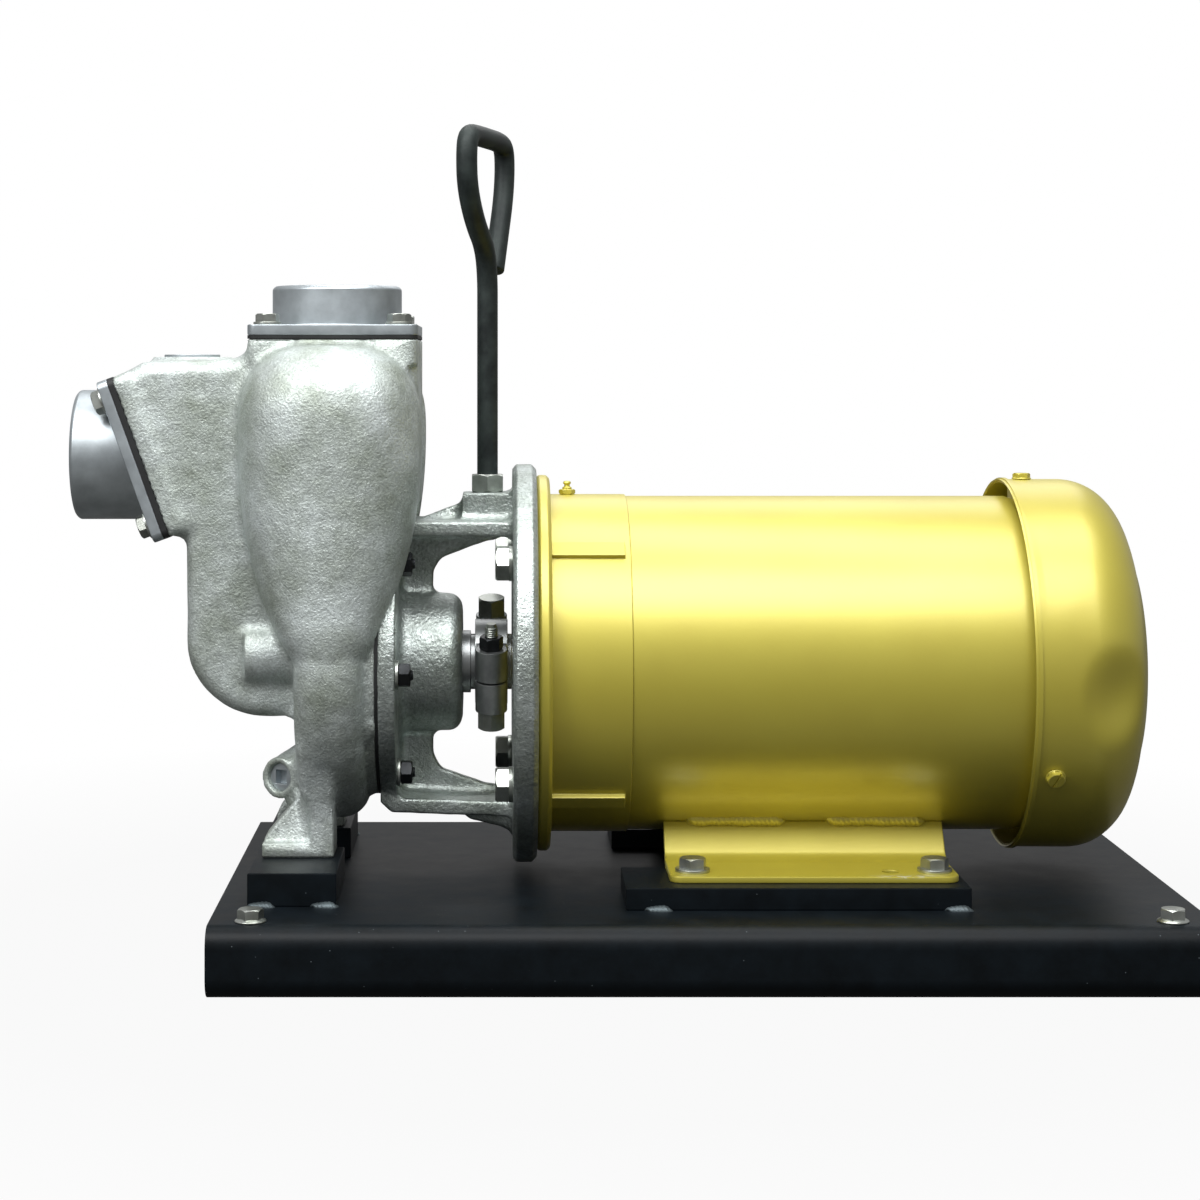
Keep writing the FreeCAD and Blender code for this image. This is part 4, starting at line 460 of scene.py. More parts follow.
def joinRings(shape, rings):
    # a wall of four-sided faces between each ring of vertices and the next
    made = []
    for first, second in zip(rings, rings[1:]):
        for number in range(len(first)):
            face = (first[number - 1], first[number], second[number], second[number - 1])
            made.append(shape.faces.new(face))
    return made


# Every thread: its depth and crest are given in pitches, the rest in mm
thread = {"pitch": 1.25, "depth": 0.55, "crest": (0.45, 0.6), "root": 0.1, "point": 0.5}


def threadForm(shape, place, radius, length):
    # the exposed end of a screw: rings of a thread with a chamfered point
    pitch = thread["pitch"]
    root = radius - thread["depth"] * pitch
    rise, fall = thread["crest"]
    count = max(2, int((length - 1) / pitch))
    profile = [(0, 0, 0), (root, 0, 0)]
    for turn in range(count):
        profile += [(root, turn * pitch + thread["root"], 0), (radius, (turn + rise) * pitch, 0),
                    (radius, (turn + fall) * pitch, 0)]
    profile += [(root, count * pitch, 0), (root - thread["point"], length, 0), (0, length, 0)]
    turnProfile(shape, place, profile, steps=32)


def washerForm(shape, place, outer, inner, thickness):
    rounding = 0.3
    profile = [(inner, 0, 0), (outer, 0, rounding), (outer, thickness, rounding),
               (inner, thickness, rounding / 2)]
    turnProfile(shape, place, profile, steps=48, closed=True)


# Castings: the CAD shape with grown fillets, worn edges and the soft lumps that the mould leaves
castings = {
    "pump_casing": {"voxel": 1.75, "fillet": 2.4, "smooth": 3, "coarse": (38.0, 0.6), "fine": (9.0, 0.22),
                    "keep": 0.42},
    "bracket": {"voxel": 1.4, "fillet": 2.6, "smooth": 2, "coarse": (30.0, 0.35), "fine": (7.0, 0.2),
                "keep": 0.6, "finish": bracketFinish},
}
snapReach = 2.5    # a skin this near to a machined face is laid onto it
calmReach = 8.0    # the lumps fade over this distance from a mating face

# Faces that other pieces sit on: the slanted suction face, the discharge face and the mouth to the bracket
suctionTilt = 20
suctionPoint = Vector((-236, 0, 127))
suctionNormal = Vector((-math.cos(math.radians(suctionTilt)), 0, -math.sin(math.radians(suctionTilt))))
dischargeFace = 197.6
mouthFace = -97

# Limits of the machined forms, as heights, places along the shaft and radii
machined = {
    "discharge": 196.5, "fillBoss": 186, "mouth": -97.5, "feet": (-68, -119), "volute": (86, -137, -101),
    "motorSide": -2, "pumpSide": -92, "bore": 24, "rim": 119.5, "flange": -15.2, "window": (53, -16),
}


def isMachined(node, place, normal):
    radius = math.hypot(place.y, place.z)
    if node == "pump_casing":
        top, front = machined["feet"]
        wide, first, last = machined["volute"]
        return (place.z > machined["discharge"] or place.z < top and place.x < front
                or place.x > machined["mouth"] or radius < wide and first < place.x < last
                or normal.dot(suctionNormal) > 0.99 and (place - suctionPoint).dot(suctionNormal) > -1
                or normal.z > 0.99 and place.z > machined["fillBoss"])
    wide, first = machined["window"]
    return (place.x > machined["motorSide"] or place.x < machined["pumpSide"] or radius < machined["bore"]
            or radius > machined["rim"] or abs(normal.x) > 0.99 and place.x > machined["flange"]
            or radius < wide and place.x > first)


# The neck below each lobe: the volute's outline as (x, radius), and the strut that runs down to the foot
neck = {
    "low": -44, "front": -142.5, "back": -101.5,
    "straight": {"below": -9, "across": 48.6, "allBelow": -28.2, "radius": 82},
    "even": {"below": -16, "across": 60},
    "volute": [(-142.5, 83.5), (-141, 85), (-135, 91.4), (-128, 93.9), (-114, 93.5), (-107, 89.9),
               (-101.5, 82.5)],
    "strut": [(-15, -141.5, -118, 84), (-45, -141.5, -118, 79.5), (-66, -141, -118.5, 72),
              (-76, -137, -119.5, 69.3), (-88, -134.2, -120, 68)],   # height, first x, last x, reach across
    "strutRoot": 50.0, "strutCorner": 3,
}


def voluteRadius(x):
    for (first, low), (second, high) in zip(neck["volute"], neck["volute"][1:]):
        if x <= second:
            return low + (high - low) * max(0, x - first) / (second - first)
    return neck["volute"][-1][1]


def evenNeck(shape):
    # the neck runs down as straight as the volute's sides, and into a strut
    low, straight, even = neck["low"], neck["straight"], neck["even"]
    for corner in shape.verts:
        place = corner.co
        outside = abs(place.y) > straight["across"] or place.z < straight["allBelow"]
        if low < place.z < straight["below"] and outside:
            place.x = max(place.x, neck["front"])
            if math.hypot(place.y, place.z) > straight["radius"]:
                place.x = min(place.x, neck["back"])
        if low < place.z < even["below"] and abs(place.y) > even["across"]:
            reach = math.sqrt(voluteRadius(place.x) ** 2 - place.z ** 2)
            place.y = math.copysign(min(abs(place.y), reach), place.y)
    root, cut = neck["strutRoot"], neck["strutCorner"]
    for side in (-1, 1):
        rings = []
        for z, first, last, reach in neck["strut"]:
            outline = [(first, root), (first, reach - cut), (first + cut, reach), (last - cut, reach),
                       (last, reach - cut), (last, root)]
            rings.append([shape.verts.new((x, side * y, z)) for x, y in outline])
        made = [shape.faces.new(rings[0]), shape.faces.new(rings[-1])]
        bmesh.ops.recalc_face_normals(shape, faces=made + joinRings(shape, rings))


def matingDistance(place):
    # how far a point of the casing lies from the nearest face that a gasket or flange sits on
    return min(abs((place - suctionPoint).dot(suctionNormal)), abs(place.z - dischargeFace),
               abs(place.x - mouthFace))


# The bracket's web and heel, seen from the front: (x, z) outlines of plates of one thickness
gussets = {
    "thickness": 8.0,
    "outlines": [
        [(-68, 50), (-63.3, 55), (-58.4, 63.8), (-43.6, 69.6), (-23.9, 76.6), (-21, 81), (-68, 81)],
        [(-68, -50), (-63.3, -55.9), (-58.4, -64.9), (-37, -72.3), (-23.9, -77.2), (-21, -82), (-68, -82)],
        [(-48, -84), (-48, -91), (-40.5, -96.6), (-12, -103), (-12, -84)],
    ],
}


def addGussets(shape):
    half = gussets["thickness"] / 2
    for outline in gussets["outlines"]:
        near = [shape.verts.new((x, -half, z)) for x, z in outline]
        far = [shape.verts.new((x, half, z)) for x, z in outline]
        made = [shape.faces.new(near), shape.faces.new(far[::-1])]
        bmesh.ops.recalc_face_normals(shape, faces=made + joinRings(shape, [near, far]))


# The bracket's big flange: its radius, the two ends of its rim, and how near a point is laid onto its edge
rim = {"radius": 121, "ends": (-14.5, 0), "reach": 0.9}


def ontoRim(corner):
    # pulls a point beside the turned edge onto it, so that the edge stays sharp
    radius, near = rim["radius"], rim["reach"]
    for end in rim["ends"]:
        across = math.hypot(corner.co.y, corner.co.z)
        if abs(across - radius) < near and abs(corner.co.x - end) < near:
            corner.co = Vector((end, corner.co.y * radius / across, corner.co.z * radius / across))


def castSkin(node):
    look = castings[node]
    exact = copyNode(node)
    if node == "pump_casing":
        evenNeck(exact)
    tree = BVHTree.FromBMesh(exact)
    if node == "bracket":
        addGussets(exact)
    remesh = ("REMESH", {"mode": "VOXEL", "voxel_size": look["voxel"]})
    shape = withModifiers(
        exact, remesh,
        ("DISPLACE", {"strength": look["fillet"], "mid_level": 0}), remesh,
        ("DISPLACE", {"strength": -look["fillet"], "mid_level": 0}),
        ("SMOOTH", {"factor": 0.5, "iterations": look["smooth"]}))
    for corner in shape.verts:
        found, normal, face, distance = tree.find_nearest(corner.co)
        if distance < snapReach and isMachined(node, found, normal):
            corner.co = found
            if node == "bracket":
                ontoRim(corner)
            continue
        rise = 0
        calm = min(1, matingDistance(corner.co) / calmReach) if node == "pump_casing" else 1
        for size, height in (look["coarse"], look["fine"]):
            rise += calm * height * noise.noise(corner.co / size)
        corner.co += corner.normal * rise
    shape = withModifiers(shape, ("DECIMATE", {"ratio": look["keep"]}))
    print(node, "skin,", len(shape.faces), "faces")
    finishPiece(node.replace("_", "") + "Skin", shape, node, finish=look.get("finish"), crease=60,
                recalculate=False)


castSkin("pump_casing")
castSkin("bracket")


# Machined, bent and moulded pieces keep their CAD shape, with their edges broken by so many millimetres
brokenEdges = {
    "discharge_flange": 0.8, "suction_flange": 0.8, "fill_plug": 0.4, "drain_plug": 0.4,
    "drive_endbell": 0.6, "stator_frame": 0.4, "rear_endbell": 1.0, "motor_feet": 0.9,
    "conduit_box": 0.9, "conduit_cover": 0.8, "base_channel": 0.5, "motor_pads": 0.9, "pump_pads": 0.9,
    "clamp_upper": 0.5, "clamp_lower": 0.5, "stub_shaft": 0.4, "fan": 0.5,
}

# The foot plates have rounded corners and a soft bend between wall and flange
foot = {"across": 110.5, "ends": (75.0, 241.0), "corner": 7.5, "bendAcross": (60.0, 72.0), "bend": 4.5}


def isFootCorner(edge):
    first, second = (corner.co for corner in edge.verts)
    upright = abs((first - second).normalized().z) > 0.9
    return upright and abs(first.y) > foot["across"] and min(abs(first.x - end) for end in foot["ends"]) < 0.2


def isFootBend(edge):
    low, high = foot["bendAcross"]
    return edge.calc_length() > 100 and low < abs(edge.verts[0].co.y) < high and edge.calc_face_angle(0) > 0.2


for node, width in brokenEdges.items():
    shape = copyNode(node)
    if node == "motor_feet":
        mergeFlats(shape)
        for chosen, rounding in ((isFootCorner, foot["corner"]), (isFootBend, foot["bend"])):
            bevelEdges(shape, [edge for edge in shape.edges if chosen(edge)], rounding, 6)
    finishPiece(node.replace("_", "") + "Edged", softenEdges(shape, width), node, crease=40, flatFaces=True)
print("edges broken on", len(brokenEdges), "pieces")


# Screws and nuts, each standing on the plane it is tightened on
suctionTurn = Matrix.Rotation(math.radians(90 + suctionTilt), 4, (0, -1, 0))
suctionPlane = Matrix.Translation(suctionPoint) @ suctionTurn
dischargePlane = Matrix.Translation((-122, 0, dischargeFace))
portPlaces = [(x, y) for x in (-39.4, 39.4) for y in (-39.4, 39.4)]
facePlaces = [(y, z) for y in (-65.1, 65.1) for z in (-65.1, 65.1)]
studCircle = 72
studPlaces = [(studCircle * math.cos(math.radians(angle)), studCircle * math.sin(math.radians(angle)))
              for angle in range(0, 360, 60)]
footPlaces = [(x, y) for x in (88.9, 228.6) for y in (-95.25, 95.25)]
basePlaces = [(x, y) for x in (-160.7, 351.2) for y in (-152.4, 152.4)]
clampFrame = Matrix.Translation((-27.4, 0, 0)) @ Matrix.Rotation(math.radians(13.5), 4, "X")
seats = {"discharge": 8.5, "suction": 10.1, "face": -14.5, "foot": -110.3, "base": -127, "stud": -83.5}

# Widths across flats, heights and radii; a washer is (outer radius, inner radius, thickness)
hardware = {
    "portBolt": {"flats": 12.7, "head": 5.0, "washer": (8.4, 4.1, 1.6)},
    "faceBolt": {"flats": 19.0, "head": 8.0, "washer": (10.5, 6.5, 2.5)},
    "footBolt": {"flats": 14.3, "head": 6.0, "washer": (10.0, 4.9, 2.0)},
    "baseBolt": {"flats": 12.9, "head": 5.5, "under": 1.8,
                 "flange": [(0, 0, 0), (8.85, 0, 0.3), (8.85, 0.8, 0.3), (6.4, 2.2, 0.5), (0, 2.2, 0)]},
    "casingStud": {"flats": 12.9, "nut": 7.0, "radius": 3.95, "tip": 1.6, "washer": (8.6, 4.1, 1.8)},
    "clampBolt": {"flats": 16.0, "head": 11.0, "nutFlats": 12.7, "nut": 8.0, "radius": 3.95, "tip": 8.0,
                  "across": 32, "ear": 19.5},
    "handleNut": {"flats": 19.0, "nut": 11.0, "place": (-29.8, 0, 104)},
}


def turnedAbout(angle):
    return Matrix.Rotation(math.radians(angle), 4, "Z")


def raised(height):
    return Matrix.Translation((0, 0, height))


def boltSet(name, node, washerNode, look, places, turns=(17, 40, 63, 86)):
    heads, washers = bmesh.new(), bmesh.new()
    outer, inner, thickness = look["washer"]
    for place, turn in zip(places, turns):
        washerForm(washers, place, outer, inner, thickness)
        hexForm(heads, place @ raised(thickness) @ turnedAbout(turn), look["flats"], look["head"])
    finishPiece(name + "Heads", heads, node)
    finishPiece(name + "Washers", washers, washerNode)


boltSet("discharge", "discharge_bolts", "discharge_washers", hardware["portBolt"],
        [dischargePlane @ Matrix.Translation((x, y, seats["discharge"])) for x, y in portPlaces])
boltSet("suction", "suction_bolts", "suction_washers", hardware["portBolt"],
        [suctionPlane @ Matrix.Translation((x, y, seats["suction"])) for x, y in portPlaces])
boltSet("face", "bracket_bolts", "bracket_washers", hardware["faceBolt"],
        [facing((-1, 0, 0), seats["face"], y, z) for y, z in facePlaces], turns=(2, 57, 4, 61))
boltSet("foot", "motor_foot_bolts", "motor_foot_washers", hardware["footBolt"],
        [Matrix.Translation((x, y, seats["foot"])) for x, y in footPlaces])


def flangeBolts():
    look = hardware["baseBolt"]
    shape = bmesh.new()
    for number, (x, y) in enumerate(basePlaces):
        place = Matrix.Translation((x, y, seats["base"]))
        turnProfile(shape, place, look["flange"], steps=48)
        turn = turnedAbout(11 + 31 * number)
        hexForm(shape, place @ raised(look["under"]) @ turn, look["flats"], look["head"])
    finishPiece("baseFlangeBolts", shape, "base_bolts")


def casingStuds():
    look = hardware["casingStud"]
    studs, nuts, washers = bmesh.new(), bmesh.new(), bmesh.new()
    outer, inner, thickness = look["washer"]
    for number, (y, z) in enumerate(studPlaces):
        place = facing((1, 0, 0), seats["stud"], y, z)
        washerForm(washers, place, outer, inner, thickness)
        hexForm(nuts, place @ raised(thickness) @ turnedAbout(9 + 13 * number), look["flats"], look["nut"],
                bothEnds=True)
        threadForm(studs, place @ raised(thickness + 1), look["radius"], look["nut"] + look["tip"] - 1)
    finishPiece("studTips", studs, "casing_studs")
    finishPiece("studNuts", nuts, "casing_nuts")
    finishPiece("studWashers", washers, "casing_washers")


def clampFasteners():
    look = hardware["clampBolt"]
    bolts, nuts = bmesh.new(), bmesh.new()
    inside = 6   # mm of thread hidden in the ear
    for side in (clampFrame, clampFrame @ Matrix.Rotation(math.pi, 4, "X")):
        place = side @ Matrix.Translation((0, -look["across"], 0))
        hexForm(bolts, place @ facing((0, 0, -1), 0, 0, -look["ear"]) @ turnedAbout(30), look["flats"],
                look["head"])
        threadForm(bolts, place @ raised(look["ear"] - inside), look["radius"],
                   look["nut"] + look["tip"] + inside)
        hexForm(nuts, place @ raised(look["ear"]) @ turnedAbout(12), look["nutFlats"], look["nut"],
                bothEnds=True)
    finishPiece("clampScrews", bolts, "clamp_bolts")
    finishPiece("clampLockNuts", nuts, "clamp_nuts")


def handleNut():
    look = hardware["handleNut"]
    shape = bmesh.new()
    place = Matrix.Translation(look["place"]) @ turnedAbout(30)
    hexForm(shape, place, look["flats"], look["nut"], bothEnds=True)
    finishPiece("handleJamNut", shape, "handle_nut")


flangeBolts()
casingStuds()
clampFasteners()
handleNut()
print("fasteners")


# The lifting handle: one bent rod, its end tucked in beside the stem to close the eye
handle = {
    "x": -29.8, "radius": 6.35, "turn": 15.6, "endRounding": 1.2,
    "stem": [(0, 92), (0, 150), (0, 215)],   # across the eye's plane and up
    "eye": [(0, 236), (-6, 254), (-28, 268), (-44, 288), (-46, 307), (-43, 320), (-26, 320.9), (0, 320.9),
            (26, 320.9), (38, 318), (40, 304), (36, 285), (25, 262), (14.5, 240)],
}


def bentHandle():
    curve = bpy.data.curves.new("handleLine", "CURVE")
    curve.dimensions = "3D"
    turn = Matrix.Rotation(math.radians(-handle["turn"]), 4, "Z")
    points = handle["stem"] + handle["eye"]
    line = curve.splines.new("NURBS")
    line.points.add(len(points) - 1)
    for point, (across, up) in zip(line.points, points):
        place = turn @ Vector((0, across, 0))
        point.co = (place.x + handle["x"], place.y, up, 1)
    line.order_u = 3
    line.use_endpoint_u = True
    line.resolution_u = 8
    curve.bevel_depth = handle["radius"]
    curve.bevel_resolution = 9
    curve.use_fill_caps = True
    holder = bpy.data.objects.new("handleLine", curve)
    bpy.context.scene.collection.objects.link(holder)
    shape = bmesh.new()
    shape.from_mesh(holder.evaluated_get(bpy.context.evaluated_depsgraph_get()).to_mesh())
    bpy.data.objects.remove(holder)
    bmesh.ops.remove_doubles(shape, verts=shape.verts, dist=0.01)
    ends = [edge for edge in shape.edges if edge.calc_face_angle(0) > math.radians(60)]
    bevelEdges(shape, ends, handle["endRounding"], 3)
    finishPiece("bentHandle", shape, "lifting_handle", crease=50)


bentHandle()
print("handle")


# Fan cover: one deep-drawn shell with a rolled rim, radial intake slots and a dent low on its shoulder
cover = {
    "start": 284.0, "end": 360.0, "radius": 112.0, "corner": 34.0, "dome": 6.0, "wall": 2.0, "steps": 180,
    "rim": [(-1.2, 3.7), (-1.0, 0.6), (-0.2, 0.0), (0.0, 0.8)],   # from the radius and the start
    "ripple": {"size": 45.0, "height": 0.35, "from": 6.0},
    "dent": {"place": (333.0, -110.0, -8.0), "reach": 25.0, "depth": 6.5, "squash": 0.75},
    "slots": {"count": 16, "wide": 7.0, "reach": (24.0, 66.0), "deep": 24.0, "corner": 3.0},
}


def coverProfile():
    # (radius, place along the shaft), from the rolled rim to the middle of the end
    look = cover
    bend = look["corner"]
    rim = [(look["radius"] + inwards, look["start"] + along) for inwards, along in look["rim"]]
    first = rim[-1][1]
    straight = look["end"] - look["dome"] - bend
    side = [(look["radius"], first + (straight - look["start"]) * step / 18) for step in range(1, 19)]
    shoulder = [(look["radius"] - bend + bend * math.cos(angle), straight + bend * math.sin(angle))
                for angle in [math.pi / 2 * step / 18 for step in range(1, 17)]]
    flat = look["radius"] - bend
    face = [(radius, look["end"] - look["dome"] * (radius / look["radius"]) ** 2)
            for radius in [flat * (1 - step / 16) for step in range(1, 17)]]
    return rim + side + shoulder + face


def fanCoverShell():
    look = cover
    shape = bmesh.new()
    corners = [shape.verts.new((height, 0, radius)) for radius, height in coverProfile()]
    edges = [shape.edges.new(pair) for pair in zip(corners, corners[1:])]
    bmesh.ops.spin(shape, geom=corners + edges, cent=(0, 0, 0), axis=(1, 0, 0), angle=2 * math.pi,
                   steps=look["steps"], use_merge=True, use_duplicate=False)
    bmesh.ops.remove_doubles(shape, verts=shape.verts, dist=0.01)
    bmesh.ops.recalc_face_normals(shape, faces=shape.faces)
    dent, ripple = look["dent"], look["ripple"]
    for corner in shape.verts:
        away = corner.co - Vector(dent["place"])
        away.z *= dent["squash"]
        near = max(0, 1 - (away.length / dent["reach"]) ** 2)
        rise = ripple["height"] * noise.noise(corner.co / ripple["size"])
        corner.co -= Vector((0.25, corner.co.y, corner.co.z)).normalized() * (dent["depth"] * near ** 2)
        if corner.co.x > look["start"] + ripple["from"]:
            corner.co -= Vector((0, corner.co.y, corner.co.z)).normalized() * abs(rise)
    shape = withModifiers(shape, ("SOLIDIFY", {"thickness": look["wall"], "offset": -1.0}))
    cutters = bmesh.new()
    slots = look["slots"]
    low, high = slots["reach"]
    for number in range(slots["count"]):
        turn = Matrix.Rotation(2 * math.pi * number / slots["count"], 4, "X")
        middle = Matrix.Translation((look["end"] - look["dome"], 0, (low + high) / 2))
        size = Matrix.Diagonal((slots["deep"], slots["wide"], high - low, 1))
        bmesh.ops.create_cube(cutters, size=1, matrix=turn @ middle @ size)
    rounds = [edge for edge in cutters.edges
              if abs((edge.verts[0].co - edge.verts[1].co).normalized().x) > 0.9]
    bevelEdges(cutters, rounds, slots["corner"], 4)
    shape = cutAway(shape, cutters)
    print("fan cover,", len(shape.faces), "faces")
    finishPiece("fanCoverShell", shape, "fan_cover", crease=40)


coverScrews = {
    "x": 298, "seat": 112, "angles": (0, 120, 240), "flats": 9.5, "head": 2.7, "under": 0.9,
    "flange": [(0, 0, 0), (5.9, 0, 0.2), (5.9, 0.6, 0.2), (4.9, 1.1, 0), (0, 1.1, 0)],
    "slot": {"height": 116.2, "size": (14, 1.3, 3.4, 1)},
}


def slottedScrews():
    look = coverScrews
    slot = look["slot"]
    shape, cutters = bmesh.new(), bmesh.new()
    for number, angle in enumerate(look["angles"]):
        turn = Matrix.Rotation(math.radians(angle), 4, "X")
        place = turn @ Matrix.Translation((look["x"], 0, look["seat"]))
        turnProfile(shape, place, look["flange"], steps=40)
        hexForm(shape, place @ raised(look["under"]), look["flats"], look["head"])
        place = turn @ Matrix.Translation((look["x"], 0, slot["height"])) @ turnedAbout(25 + 40 * number)
        bmesh.ops.create_cube(cutters, size=1, matrix=place @ Matrix.Diagonal(slot["size"]))
    finishPiece("coverScrewHeads", cutAway(shape, cutters, use_self=True), "fan_cover_screws")


fanCoverShell()
slottedScrews()


# Grease fitting: hexagon, waist and ball nose
grease = {
    "place": (19, 0, 102.4), "flats": 8.8, "under": 0.3, "hexagon": 3.0,
    "profile": [(0, 0, 0), (3.6, 0, 0), (3.6, 1.2, 0.3), (2.9, 2.4, 0.3), (2.9, 4.4, 0.3), (1.7, 5.2, 0.3),
                (1.7, 6.2, 0.3), (2.6, 7.0, 0.4), (2.0, 8.2, 0.4), (0, 8.5, 0)],
}


def greaseFitting():
    shape = bmesh.new()
    place = Matrix.Translation(grease["place"])
    turnProfile(shape, place, grease["profile"], steps=32)
    hexForm(shape, place @ raised(grease["under"]), grease["flats"], grease["hexagon"], bothEnds=True)
    finishPiece("greaseNipple", shape, "grease_fitting")


greaseFitting()


# Weld beads: overlapping ripples along the seams
welds = {
    "foot": {"runs": [(87.0, 146.0), (170.0, 229.0)], "wide": 5.2, "high": 4.6, "ripple": 3.0,
             "y": 48.4, "z": -87.6, "lean": 126},
    "pad": {"places": [(-159.0, -114.0), (-123.0, -114.0), (67.0, -124.0), (237.0, -124.0)],
            "long": 15.0, "wide": 4.2, "high": 3.2, "ripple": 2.4, "z": -127.2},
    "points": 20, "ringsPerRipple": 6, "arc": 0.7, "rippleShare": (0.92, 0.07), "unevenness": (0.3, 9),
}


def weldRun(shape, place, length, look):
    # a bead of overlapping arcs, round at both ends
    count = int(length / look["ripple"] * welds["ringsPerRipple"])
    valley, crest = welds["rippleShare"]
    uneven, spread = welds["unevenness"]
    half = welds["points"] / 2
    rings = []
    for step in range(count + 1):
        along = length * (step / count - 0.5)
        left = min(1, (length / 2 - abs(along)) / look["wide"])
        size = max(0.05, math.sqrt(1 - (1 - left) ** 2))
        ripple = abs(math.sin(math.pi * along / look["ripple"]))
        size *= valley + crest * ripple + uneven * noise.noise(Vector((along / spread, length, 0)))
        ring = []
        for number in range(welds["points"]):
            across, up = math.cos(math.pi * number / half), math.sin(math.pi * number / half)
            ahead = welds["arc"] * look["ripple"] * across ** 2
            corner = Vector((along + ahead, look["wide"] * size * across, look["high"] * size * up))
            ring.append(shape.verts.new(place @ corner))
        rings.append(ring)
    joinRings(shape, rings[::-1])
    shape.faces.new(rings[0])
    shape.faces.new(rings[-1][::-1])


def addWelds():
    seam = welds["foot"]
    shape = bmesh.new()
    for side in (-1, 1):
        lean = Matrix.Rotation(side * math.radians(seam["lean"]), 4, "X")
        for start, end in seam["runs"]:
            place = Matrix.Translation(((start + end) / 2, side * seam["y"], seam["z"])) @ lean
            weldRun(shape, place, end - start, seam)
    finishPiece("footWelds", shape, "motor_feet", replaced=False, crease=80)
    pad = welds["pad"]
    shape = bmesh.new()
    for x, y in pad["places"]:
        for side in (1, -1):
            weldRun(shape, Matrix.Translation((x, side * y, pad["z"])), pad["long"], pad)
    finishPiece("padWelds", shape, "base_channel", finish=weldScale, replaced=False, crease=80)


addWelds()
print("welds")


# The photograph's camera: level, a little above the discharge flange, 1.58 m in front of the shaft
camera = {"place": (-70.425, -1580.25, 347.5), "lens": 77.2, "shift": (0.0852, -0.1939)}


def addCamera():
    data = bpy.data.cameras.new("photoCamera")
    data.lens = camera["lens"]
    data.sensor_width = 36
    data.shift_x, data.shift_y = camera["shift"]
    data.clip_start, data.clip_end = 0.05, 50
    holder = bpy.data.objects.new("photoCamera", data)
    holder.location = Vector(camera["place"]) * mm
    holder.rotation_euler = (math.radians(90), 0, 0)
    bpy.context.scene.collection.objects.link(holder)
    bpy.context.scene.camera = holder


# Soft boxes: a broad one above and in front, one overhead, weaker ones from the left and from behind
lamps = {
    "keyBox": {"place": (-0.15, -0.85, 1.4), "aim": (0.0, 0.0, 0.2), "size": (1.7, 0.8), "power": 28},
    "topBox": {"place": (0.1, 0.15, 1.45), "aim": (0.0, 0.0, 0.2), "size": (1.5, 0.5), "power": 11},
    "sideBox": {"place": (-1.05, -0.95, 1.2), "aim": (-0.15, 0.0, 0.3), "size": (0.6, 0.8), "power": 9},
    "rearBox": {"place": (0.3, 1.6, 1.5), "aim": (0.0, 0.0, 0.2), "size": (1.4, 0.8), "power": 6},
}


def addLamps():
    for name, look in lamps.items():
        data = bpy.data.lights.new(name, "AREA")
        data.shape = "RECTANGLE"
        data.size, data.size_y = look["size"]
        data.energy = look["power"]
        holder = bpy.data.objects.new(name, data)
        holder.location = look["place"]
        towards = Vector(look["aim"]) - Vector(look["place"])
        holder.rotation_euler = towards.to_track_quat("-Z", "Y").to_euler()
        bpy.context.scene.collection.objects.link(holder)


def whiteRays(tree, glossShare):
    # the share of white that a ray sees: all for the camera and through glass, the given share for gloss
    path = addNode(tree, "ShaderNodeLightPath")
    seen = addNode(tree, "ShaderNodeMath", {"operation": "MAXIMUM"},
                   {0: path.outputs["Is Camera Ray"], 1: path.outputs["Is Transmission Ray"]})
    gloss = addNode(tree, "ShaderNodeMath", {"operation": "MULTIPLY", 1: glossShare},
                    {0: path.outputs["Is Glossy Ray"]})
    return addNode(tree, "ShaderNodeMath", {"operation": "MAXIMUM"},
                   {0: seen.outputs[0], 1: gloss.outputs[0]}).outputs[0]


# The sky's light, the floor's colour and size, the ring in which its shadow fades, and the white shares
surroundings = {
    "skyLight": 0.36, "floor": "#424240", "floorReach": 12, "shadowReach": (0.4, 0.85), "glow": 0.94,
    "skyGloss": 0.0, "floorGloss": 0.05,
}


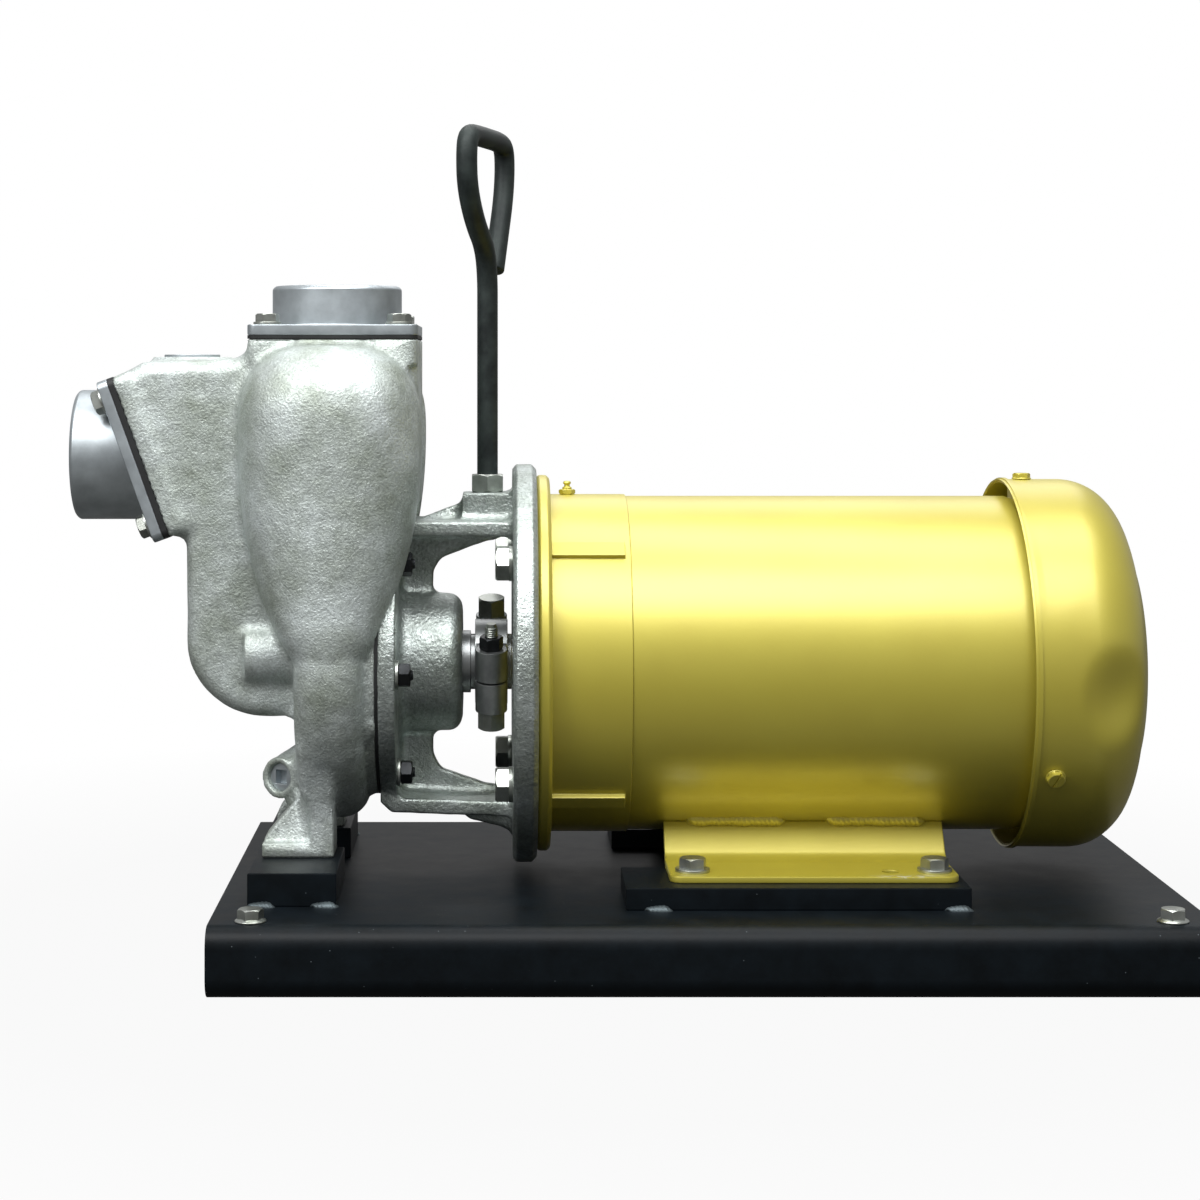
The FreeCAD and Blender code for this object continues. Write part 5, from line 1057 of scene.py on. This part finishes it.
def addSurroundings():
    look = surroundings
    world = bpy.data.worlds.new("paleStudio")
    world.use_nodes = True
    tree = world.node_tree
    tree.nodes.clear()
    soft = addNode(tree, "ShaderNodeBackground", {"Color": linear("#ffffff"), "Strength": look["skyLight"]})
    white = addNode(tree, "ShaderNodeBackground", {"Color": linear("#ffffff"), "Strength": 1.0})
    both = addNode(tree, "ShaderNodeMixShader",
                   links={0: whiteRays(tree, look["skyGloss"]), 1: soft.outputs[0], 2: white.outputs[0]})
    addNode(tree, "ShaderNodeOutputWorld", links={"Surface": both.outputs[0]})
    bpy.context.scene.world = world

    floorShape = bmesh.new()
    bmesh.ops.create_grid(floorShape, x_segments=2, y_segments=2, size=look["floorReach"] / 2)
    mesh = bpy.data.meshes.new("paleFloor")
    floorShape.to_mesh(mesh)
    floorShape.free()
    floor = bpy.data.objects.new("paleFloor", mesh)
    bpy.context.scene.collection.objects.link(floor)
    material, tree, shader, place = newMaterial("paleFloor")
    shader.inputs["Base Color"].default_value = linear(look["floor"])
    shader.inputs["Roughness"].default_value = 0.8
    shader.inputs["Specular IOR Level"].default_value = 0.2
    # nearly white to the camera, with its shadow kept, and dark to most gloss and to light on the object
    distance = addNode(tree, "ShaderNodeVectorMath", {"operation": "LENGTH"}, {0: place}).outputs["Value"]
    far = addNode(tree, "ShaderNodeMapRange",
                  {"From Min": look["shadowReach"][0], "From Max": look["shadowReach"][1],
                   "To Min": look["glow"], "To Max": 1.0}, {"Value": distance})
    share = addNode(tree, "ShaderNodeMath", {"operation": "MULTIPLY"},
                    {0: far.outputs[0], 1: whiteRays(tree, look["floorGloss"])})
    white = addNode(tree, "ShaderNodeEmission", {"Color": linear("#ffffff"), "Strength": 1.0})
    both = addNode(tree, "ShaderNodeMixShader",
                   links={0: share.outputs[0], 1: shader.outputs[0], 2: white.outputs[0]})
    output = [node for node in tree.nodes if node.type == "OUTPUT_MATERIAL"][0]
    tree.links.new(both.outputs[0], output.inputs["Surface"])
    mesh.materials.append(material)


addCamera()
addLamps()
addSurroundings()
bpy.context.scene.view_settings.view_transform = "Standard"
print("camera, lamps and floor")
